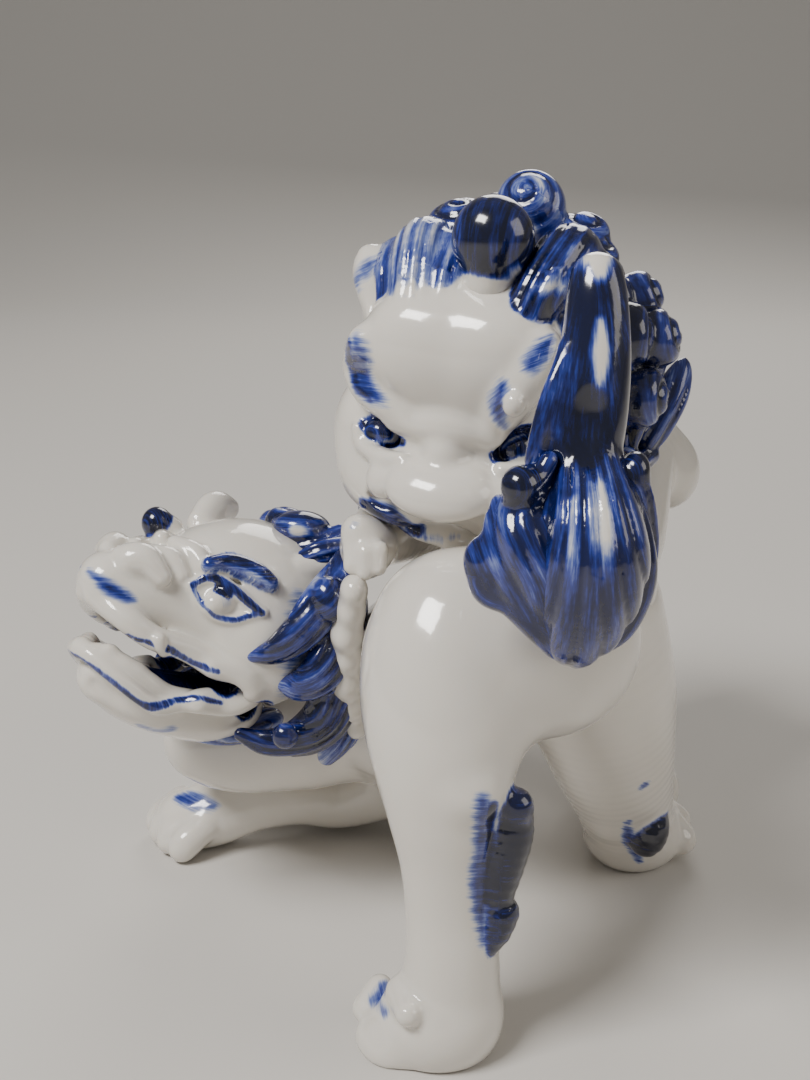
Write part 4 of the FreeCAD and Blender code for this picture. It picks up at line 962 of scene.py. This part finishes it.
ml = [
    # the lion's left: curls and the leaf-shaped lock that stand out beside the tail
    snail(at(652, 340, 55), (0.9, -0.2, 0.2), 6.0, 0.9, pitch=3.0, amp=0.65, hand=1, dark=0.9, cob=0.74),
    snail(at(638, 298, 60), (0.9, -0.1, 0.5), 5.2, 0.9, pitch=3.0, amp=0.65, hand=-1, dark=0.9, cob=0.76),
    snail(at(640, 396, 50), (0.9, -0.3, 0.1), 5.8, 0.9, pitch=3.0, amp=0.65, hand=-1, dark=1.0, cob=0.8),
    lock(S((642, 452, 56, 9), (655, 428, 56, 17), (670, 398, 58, 19), (680, 374, 60, 13), (684, 362, 61, 5)), (0.35, -0.9, 0.2), pitch=2.6, amp=0.6, cob=0.75, dark=0.65, flat=1.3),
    lock(S((634, 440, 50, 8), (640, 415, 50, 14), (650, 380, 54, 14), (662, 352, 58, 6)), (0.35, -0.9, 0.2), pitch=2.4, amp=0.6, cob=0.85, dark=0.95, flat=1.2),
    lock(S((630, 452, 48, 8), (637, 462, 52, 12), (650, 455, 56, 10)), (0.35, -0.9, 0.2), pitch=2.0, cob=0.8, dark=0.8, flat=1.1),
    snail(B.p(-14, 23, 6), B.l - 0.2 * B.f, 6.6, 0.75, hand=1),
    snail(B.p(-22, 17, 8), B.l * 0.7 - B.f, 7.2, 0.7, hand=-1),
    snail(B.p(-21.5, 18.5, -4.5), B.l * 0.7 - B.f, 7.2, 0.7, hand=1),
    snail(B.p(-13, 23.5, -6.5), B.l, 6.2, 0.7, hand=-1),
    lock(B.rows((-14, 22.5, -12, 5.0), (-12, 23.0, -18, 4.0), (-9, 21.5, -23, 1.6)), B.l, pitch=2.2),
    lock(B.rows((-22, 16.5, -12, 5.6), (-22, 16.5, -19, 4.4), (-20, 15.5, -25, 1.6)), B.l * 0.7 - B.f, pitch=2.2),
]
sculpt("upper_lion_mane_left_side", ml, ["upper_lion_mane_left_side"], "cobalt_streaked_glaze")
mr = [
    snail(B.p(-8.5, -20.0, 9.5), -B.l + 0.2 * B.f, 5.4, 0.7, hand=-1, dark=0.8),
    snail(B.p(-7.5, -22.0, 0.5), -B.l + 0.1 * B.f, 5.6, 0.6, hand=1, dark=0.8),
    snail(B.p(-8.5, -22.0, -9.5), -B.l, 5.6, 0.6, hand=-1, dark=0.8),
    snail(B.p(-17, -19, 4), -B.l - 0.6 * B.f, 7.0, 0.7, hand=1),
    snail(B.p(-18, -18.5, -8), -B.l - 0.6 * B.f, 7.0, 0.7, hand=-1),
    snail(B.p(-24, -12, -1), -B.l * 0.4 - B.f, 7.2, 0.7, hand=1),
    lock(B.rows((-10, -21, -14, 4.6), (-7, -21.5, -19.5, 3.6), (-4, -20.5, -24, 1.4)), -B.l, pitch=2.2),
    lock(B.rows((-19, -17.5, -14, 5.4), (-18, -17.5, -21, 4.2), (-15, -17, -26, 1.6)), -B.l * 0.8 - 0.6 * B.f, pitch=2.2),
]
sculpt("upper_lion_mane_right_side", mr, ["upper_lion_mane_right_side"], "cobalt_streaked_glaze")
nape = [snail((x, y, z), (nx, ny, nz), r, 0.65, hand=hn) for x, y, z, nx, ny, nz, r, hn in (
    (12, 74.5, 112.5, -.3, .5, .9, 7.2, 1), (25, 75.5, 114.0, .1, .5, .9, 7.2, -1), (36.5, 77, 105.5, .7, .4, .7, 6.8, 1), (4, 77, 103.0, -.8, .3, .6, 6.8, -1),
    (19, 84, 107.5, -.1, .6, .8, 7.0, -1), (31, 86, 103.5, .4, .6, .8, 7.0, 1), (9, 85.5, 101.0, -.6, .5, .7, 6.4, 1), (42, 86, 96, .9, .3, .4, 5.6, -1))]
nape += [lock([(22, 86, 106, 4.5), (22, 94, 103.5, 5.0), (23, 101, 98, 3.6), (24, 106, 93, 1.6)], (0, .6, .8), pitch=2.2),
         lock([(33, 88, 101, 4.0), (34, 95, 97, 4.4), (35, 101, 91, 3.0), (35.5, 105, 86, 1.4)], (.4, .6, .7), pitch=2.2),
         lock([(10, 88, 99, 4.0), (10, 95, 95, 4.2), (11, 101, 89, 3.0), (12, 105, 84, 1.4)], (-.5, .6, .6), pitch=2.2)]
sculpt("upper_lion_mane_nape", nape, ["upper_lion_mane_nape"], "cobalt_streaked_glaze")
for nm, sx, x in (("upper_lion_left_elbow_tuft", 1, 49.0), ("upper_lion_right_elbow_tuft", -1, -6.5)):
    el = [lock([(x - sx * 3, 80 - (0 if sx > 0 else 6), 82, 3.0), (x, 82 - (0 if sx > 0 else 6), 78, 4.0), (x + sx * 0.8, 84 - (0 if sx > 0 else 6), 73, 3.0), (x, 85 - (0 if sx > 0 else 6), 68.5, 1.4)], (sx, 0, 0), pitch=1.8)]
    sculpt(nm, el, [nm], "cobalt_streaked_glaze")
rd = [Ball((26.0 + 0.25 * i, 97.5 + 2.9 * i, 98.2 - 3.0 * i), (2.6, 3.3, 3.3), k=1.2) for i in range(7)]
sculpt("upper_lion_spine_ridge", rd, ["upper_lion_spine_ridge"], "white_glaze")

# ------------------------------------------------------------------ upper lion: tail
BK = (0, 1, 0)
f2 = {"kind": "fan", "apex": (28, 118, 118), "dir": (0.03, 0, -1), "n": BK, "pitch": 3.0, "r1": 31.0, "amp": 0.55}
ut = [
    Chain([(29, 108, 64, 6.0), (29.4, 114, 68, 8.2), (29.5, 116.0, 78, 9.4), (27.8, 115, 89, 7.2), (26.4, 112.5, 96, 5.2), (25.6, 110.5, 101, 3.6)], k=2, cob=0.8, dark=0.6, hair=f2),
    lock([(33, 118, 88, 3.2), (36.5, 118.5, 81, 4.0), (35.5, 119, 73, 3.6), (32, 118.5, 66, 1.8)], BK, pitch=2.2, flat=1.1),
    lock([(24, 118, 88, 3.2), (21.5, 118.5, 81, 4.0), (23, 119, 73, 3.6), (27, 118.5, 66, 1.8)], BK, pitch=2.2, flat=1.1),
]
sculpt("upper_lion_tail_plume", ut, ["upper_lion_tail_plume"], "cobalt_streaked_glaze", strokes=[Stroke([(28, 124, 80, 4), (28.5, 124, 74, 3)], -1, 0, 4.0), Stroke([(25.5, 111, 102, 4)], -1, 0, 2.0)])
for nm, sx in (("upper_lion_tail_left_curls", 1), ("upper_lion_tail_right_curls", -1)):
    cx = 29.5
    cu = [Ball((cx + sx * 8.6, 115.5, 86.0), (2.8, 2.8, 2.8), k=0.8, cob=1.0, dark=0.9),
          lock([(cx + sx * 6.0, 116, 87, 2.2), (cx + sx * 9.6, 116, 83, 3.4), (cx + sx * 9.6, 116, 76, 3.6), (cx + sx * 6.6, 116.5, 69, 2.0)], BK, pitch=2.0, flat=1.1),
          Ball((cx + sx * 8.8, 114.5, 71.5), (2.8, 2.8, 2.8), k=0.8, cob=1.0, dark=0.8),
          lock([(cx + sx * 8.4, 114.5, 73, 2.4), (cx + sx * 10.0, 114.5, 69, 2.8), (cx + sx * 7.0, 115, 64.5, 1.8)], BK, pitch=2.0, flat=1.1)]
    sculpt(nm, cu, [nm], "cobalt_streaked_glaze")


# ------------------------------------------------------------------ materials
def porcelain(name, tint=0.0):
    m = bpy.data.materials.new(name)
    m.use_nodes = True
    nt = m.node_tree
    nt.nodes.clear()
    N, L = nt.nodes.new, nt.links.new
    out = N("ShaderNodeOutputMaterial")
    bs = N("ShaderNodeBsdfPrincipled")
    L(bs.outputs[0], out.inputs[0])

    def attr(n):
        a = N("ShaderNodeAttribute")
        a.attribute_name = n
        return a.outputs["Fac"]

    def math_(op, a, b=None, c=None, clamp=False):
        x = N("ShaderNodeMath")
        x.operation = op
        x.use_clamp = clamp
        for i, s in enumerate((a, b, c)):
            if s is None:
                continue
            if isinstance(s, (int, float)):
                x.inputs[i].default_value = s
            else:
                L(s, x.inputs[i])
        return x.outputs[0]

    def noise(vec, sc, detail=3.0, rough=0.55):
        n = N("ShaderNodeTexNoise")
        n.inputs["Scale"].default_value = sc
        n.inputs["Detail"].default_value = detail
        n.inputs["Roughness"].default_value = rough
        L(vec, n.inputs["Vector"])
        return n.outputs["Fac"]
    geo = N("ShaderNodeTexCoord")
    obj = geo.outputs["Object"]
    cob, dark, hs, ht, gr, cv = (attr(n) for n in ("cob", "dark", "hs", "ht", "groove", "curv"))
    comb = N("ShaderNodeCombineXYZ")
    L(math_("MULTIPLY", hs, 0.9), comb.inputs[0])
    L(math_("MULTIPLY", ht, 9.0), comb.inputs[1])
    blot = noise(obj, 160.0, 3.0, 0.6)
    big = noise(obj, 60.0, 2.0, 0.5)
    L(math_("MULTIPLY", big, 0.6), comb.inputs[2])
    streak = noise(comb.outputs[0], 1.9, 4.0, 0.62)
    # how much pigment: the brushed coverage, combed by the streaks, pooled in grooves, and thin on ridges, which also
    # lays a painted highlight along every ridge top
    s = math_("MULTIPLY", math_("SUBTRACT", streak, 0.5), 1.5)
    s = math_("ADD", s, math_("MULTIPLY", math_("SUBTRACT", blot, 0.5), 0.8))
    s = math_("ADD", s, math_("MULTIPLY", math_("SUBTRACT", big, 0.5), 1.0))
    s = math_("MULTIPLY", s, math_("ADD", math_("MULTIPLY", cob, 0.75), 0.35))
    pig = math_("ADD", math_("MULTIPLY", cob, 1.38), s)
    pig = math_("ADD", pig, math_("MULTIPLY", math_("MULTIPLY", math_("SUBTRACT", gr, 0.35), 0.40), cob))
    # ridge tops lose pigment: thinner cobalt and a painted highlight
    pig = math_("SUBTRACT", pig, math_("MULTIPLY", math_("MAXIMUM", cv, 0.0), 0.85))
    pig = math_("SUBTRACT", pig, 0.27, clamp=True)
    gate = math_("MULTIPLY", cob, 5.0, clamp=True)
    pig = math_("MULTIPLY", pig, gate, clamp=True)
    ramp = N("ShaderNodeValToRGB")
    e = ramp.color_ramp.elements
    e[0].position, e[0].color = 0.0, (0.74, 0.705, 0.645, 1)
    e[1].position, e[1].color = 1.0, (0.003, 0.005, 0.020, 1)
    for pos, col in ((0.12, (0.55, 0.57, 0.64, 1)), (0.30, (0.15, 0.20, 0.46, 1)), (0.50, (0.022, 0.040, 0.26, 1)), (0.74, (0.006, 0.012, 0.085, 1))):
        x = ramp.color_ramp.elements.new(pos)
        x.color = col
    # heavy pigment goes blue-black
    lim = math_("ADD", math_("MULTIPLY", dark, 0.50), 0.52)
    fac = math_("MULTIPLY", pig, lim, clamp=True)
    L(fac, ramp.inputs[0])
    # the white body: warm grey, a little greener where the glaze pools
    warm = N("ShaderNodeMix")
    warm.data_type = "RGBA"
    L(math_("MULTIPLY", math_("MAXIMUM", math_("MULTIPLY", cv, -1.0), 0.0), 0.9, clamp=True), warm.inputs[0])
    L(ramp.outputs[0], warm.inputs[6])
    mul = N("ShaderNodeMix")
    mul.data_type = "RGBA"
    mul.blend_type = "MULTIPLY"
    mul.inputs[0].default_value = 1.0
    L(ramp.outputs[0], mul.inputs[6])
    mul.inputs[7].default_value = (0.72, 0.76, 0.74, 1)
    L(mul.outputs[2], warm.inputs[7])
    L(warm.outputs[2], bs.inputs["Base Color"])
    bs.inputs["Roughness"].default_value = 0.16
    bs.inputs["IOR"].default_value = 1.52
    bs.inputs["Coat Weight"].default_value = 0.7
    bs.inputs["Coat Roughness"].default_value = 0.035
    bs.inputs["Subsurface Weight"].default_value = 0.12
    bs.inputs["Subsurface Radius"].default_value = (0.004, 0.003, 0.002)
    bs.inputs["Subsurface Scale"].default_value = 0.6
    # orange-peel of the glaze
    bump = N("ShaderNodeBump")
    bump.inputs["Strength"].default_value = 0.08
    bump.inputs["Distance"].default_value = 0.0006
    L(noise(obj, 230.0, 2.0, 0.5), bump.inputs["Height"])
    L(bump.outputs[0], bs.inputs["Normal"])
    L(bump.outputs[0], bs.inputs["Coat Normal"])
    return m


MATS = {s: porcelain(s) for s in ("white_glaze", "cobalt_streaked_glaze", "tongue_glaze")}
for ob, s in PIECES:
    ob.data.materials.append(MATS[s])

# ------------------------------------------------------------------ stage, light, camera
fl = bpy.data.meshes.new("floor")
sz, y1, rad = 3.0, 0.75, 0.9
prof = [(-1.2, 0.0), (y1, 0.0)] + [(y1 + rad * math.sin(math.radians(a)), rad * (1 - math.cos(math.radians(a)))) for a in range(3, 91, 3)] + [(y1 + rad, 3.0)]
fl.from_pydata([(x, y, z) for y, z in prof for x in (-sz, sz)], [], [(2 * i, 2 * i + 1, 2 * i + 3, 2 * i + 2) for i in range(len(prof) - 1)])
fl.polygons.foreach_set("use_smooth", np.ones(len(fl.polygons), bool))
floor = bpy.data.objects.new("floor", fl)
bpy.context.scene.collection.objects.link(floor)
fm = bpy.data.materials.new("floor")
fm.use_nodes = True
b = fm.node_tree.nodes["Principled BSDF"]
b.inputs["Base Color"].default_value = (0.62, 0.60, 0.57, 1)
b.inputs["Roughness"].default_value = 0.85
fl.materials.append(fm)

world = bpy.data.worlds.new("world")
bpy.context.scene.world = world
world.use_nodes = True
bg = world.node_tree.nodes["Background"]
bg.inputs[0].default_value = (0.80, 0.78, 0.75, 1)
bg.inputs[1].default_value = 0.26


def area(name, loc, to, size, power, col=(1, 1, 1), size_y=None):
    d = bpy.data.lights.new(name, "AREA")
    d.energy, d.size, d.color = power, size, col
    if size_y:
        d.shape, d.size_y = "RECTANGLE", size_y
    o = bpy.data.objects.new(name, d)
    o.location = loc
    o.rotation_euler = (Vector(to) - Vector(loc)).to_track_quat("-Z", "Y").to_euler()
    bpy.context.scene.collection.objects.link(o)
    return o


area("window", (-0.42, -0.36, 0.72), (0, 0, 0.06), 0.36, 8.2, (1.0, 0.975, 0.94), 0.24)
area("fill", (0.75, -0.25, 0.45), (0, 0, 0.06), 0.50, 1.9, (1.0, 0.94, 0.86))
area("rim", (0.15, 0.75, 0.55), (0, 0, 0.08), 0.45, 2.6, (1.0, 0.97, 0.93))

cam = bpy.data.cameras.new("cam")
cam.lens, cam.sensor_width = 50.0, 36.0
cam.clip_start, cam.clip_end = 0.01, 20
co = bpy.data.objects.new("cam", cam)
co.location = ((EYE[0] - X0) / 1000, (EYE[1] - Y0) / 1000, EYE[2] / 1000)
co.rotation_euler = (math.radians(90) - TILT, 0, 0)
bpy.context.scene.collection.objects.link(co)
bpy.context.scene.camera = co
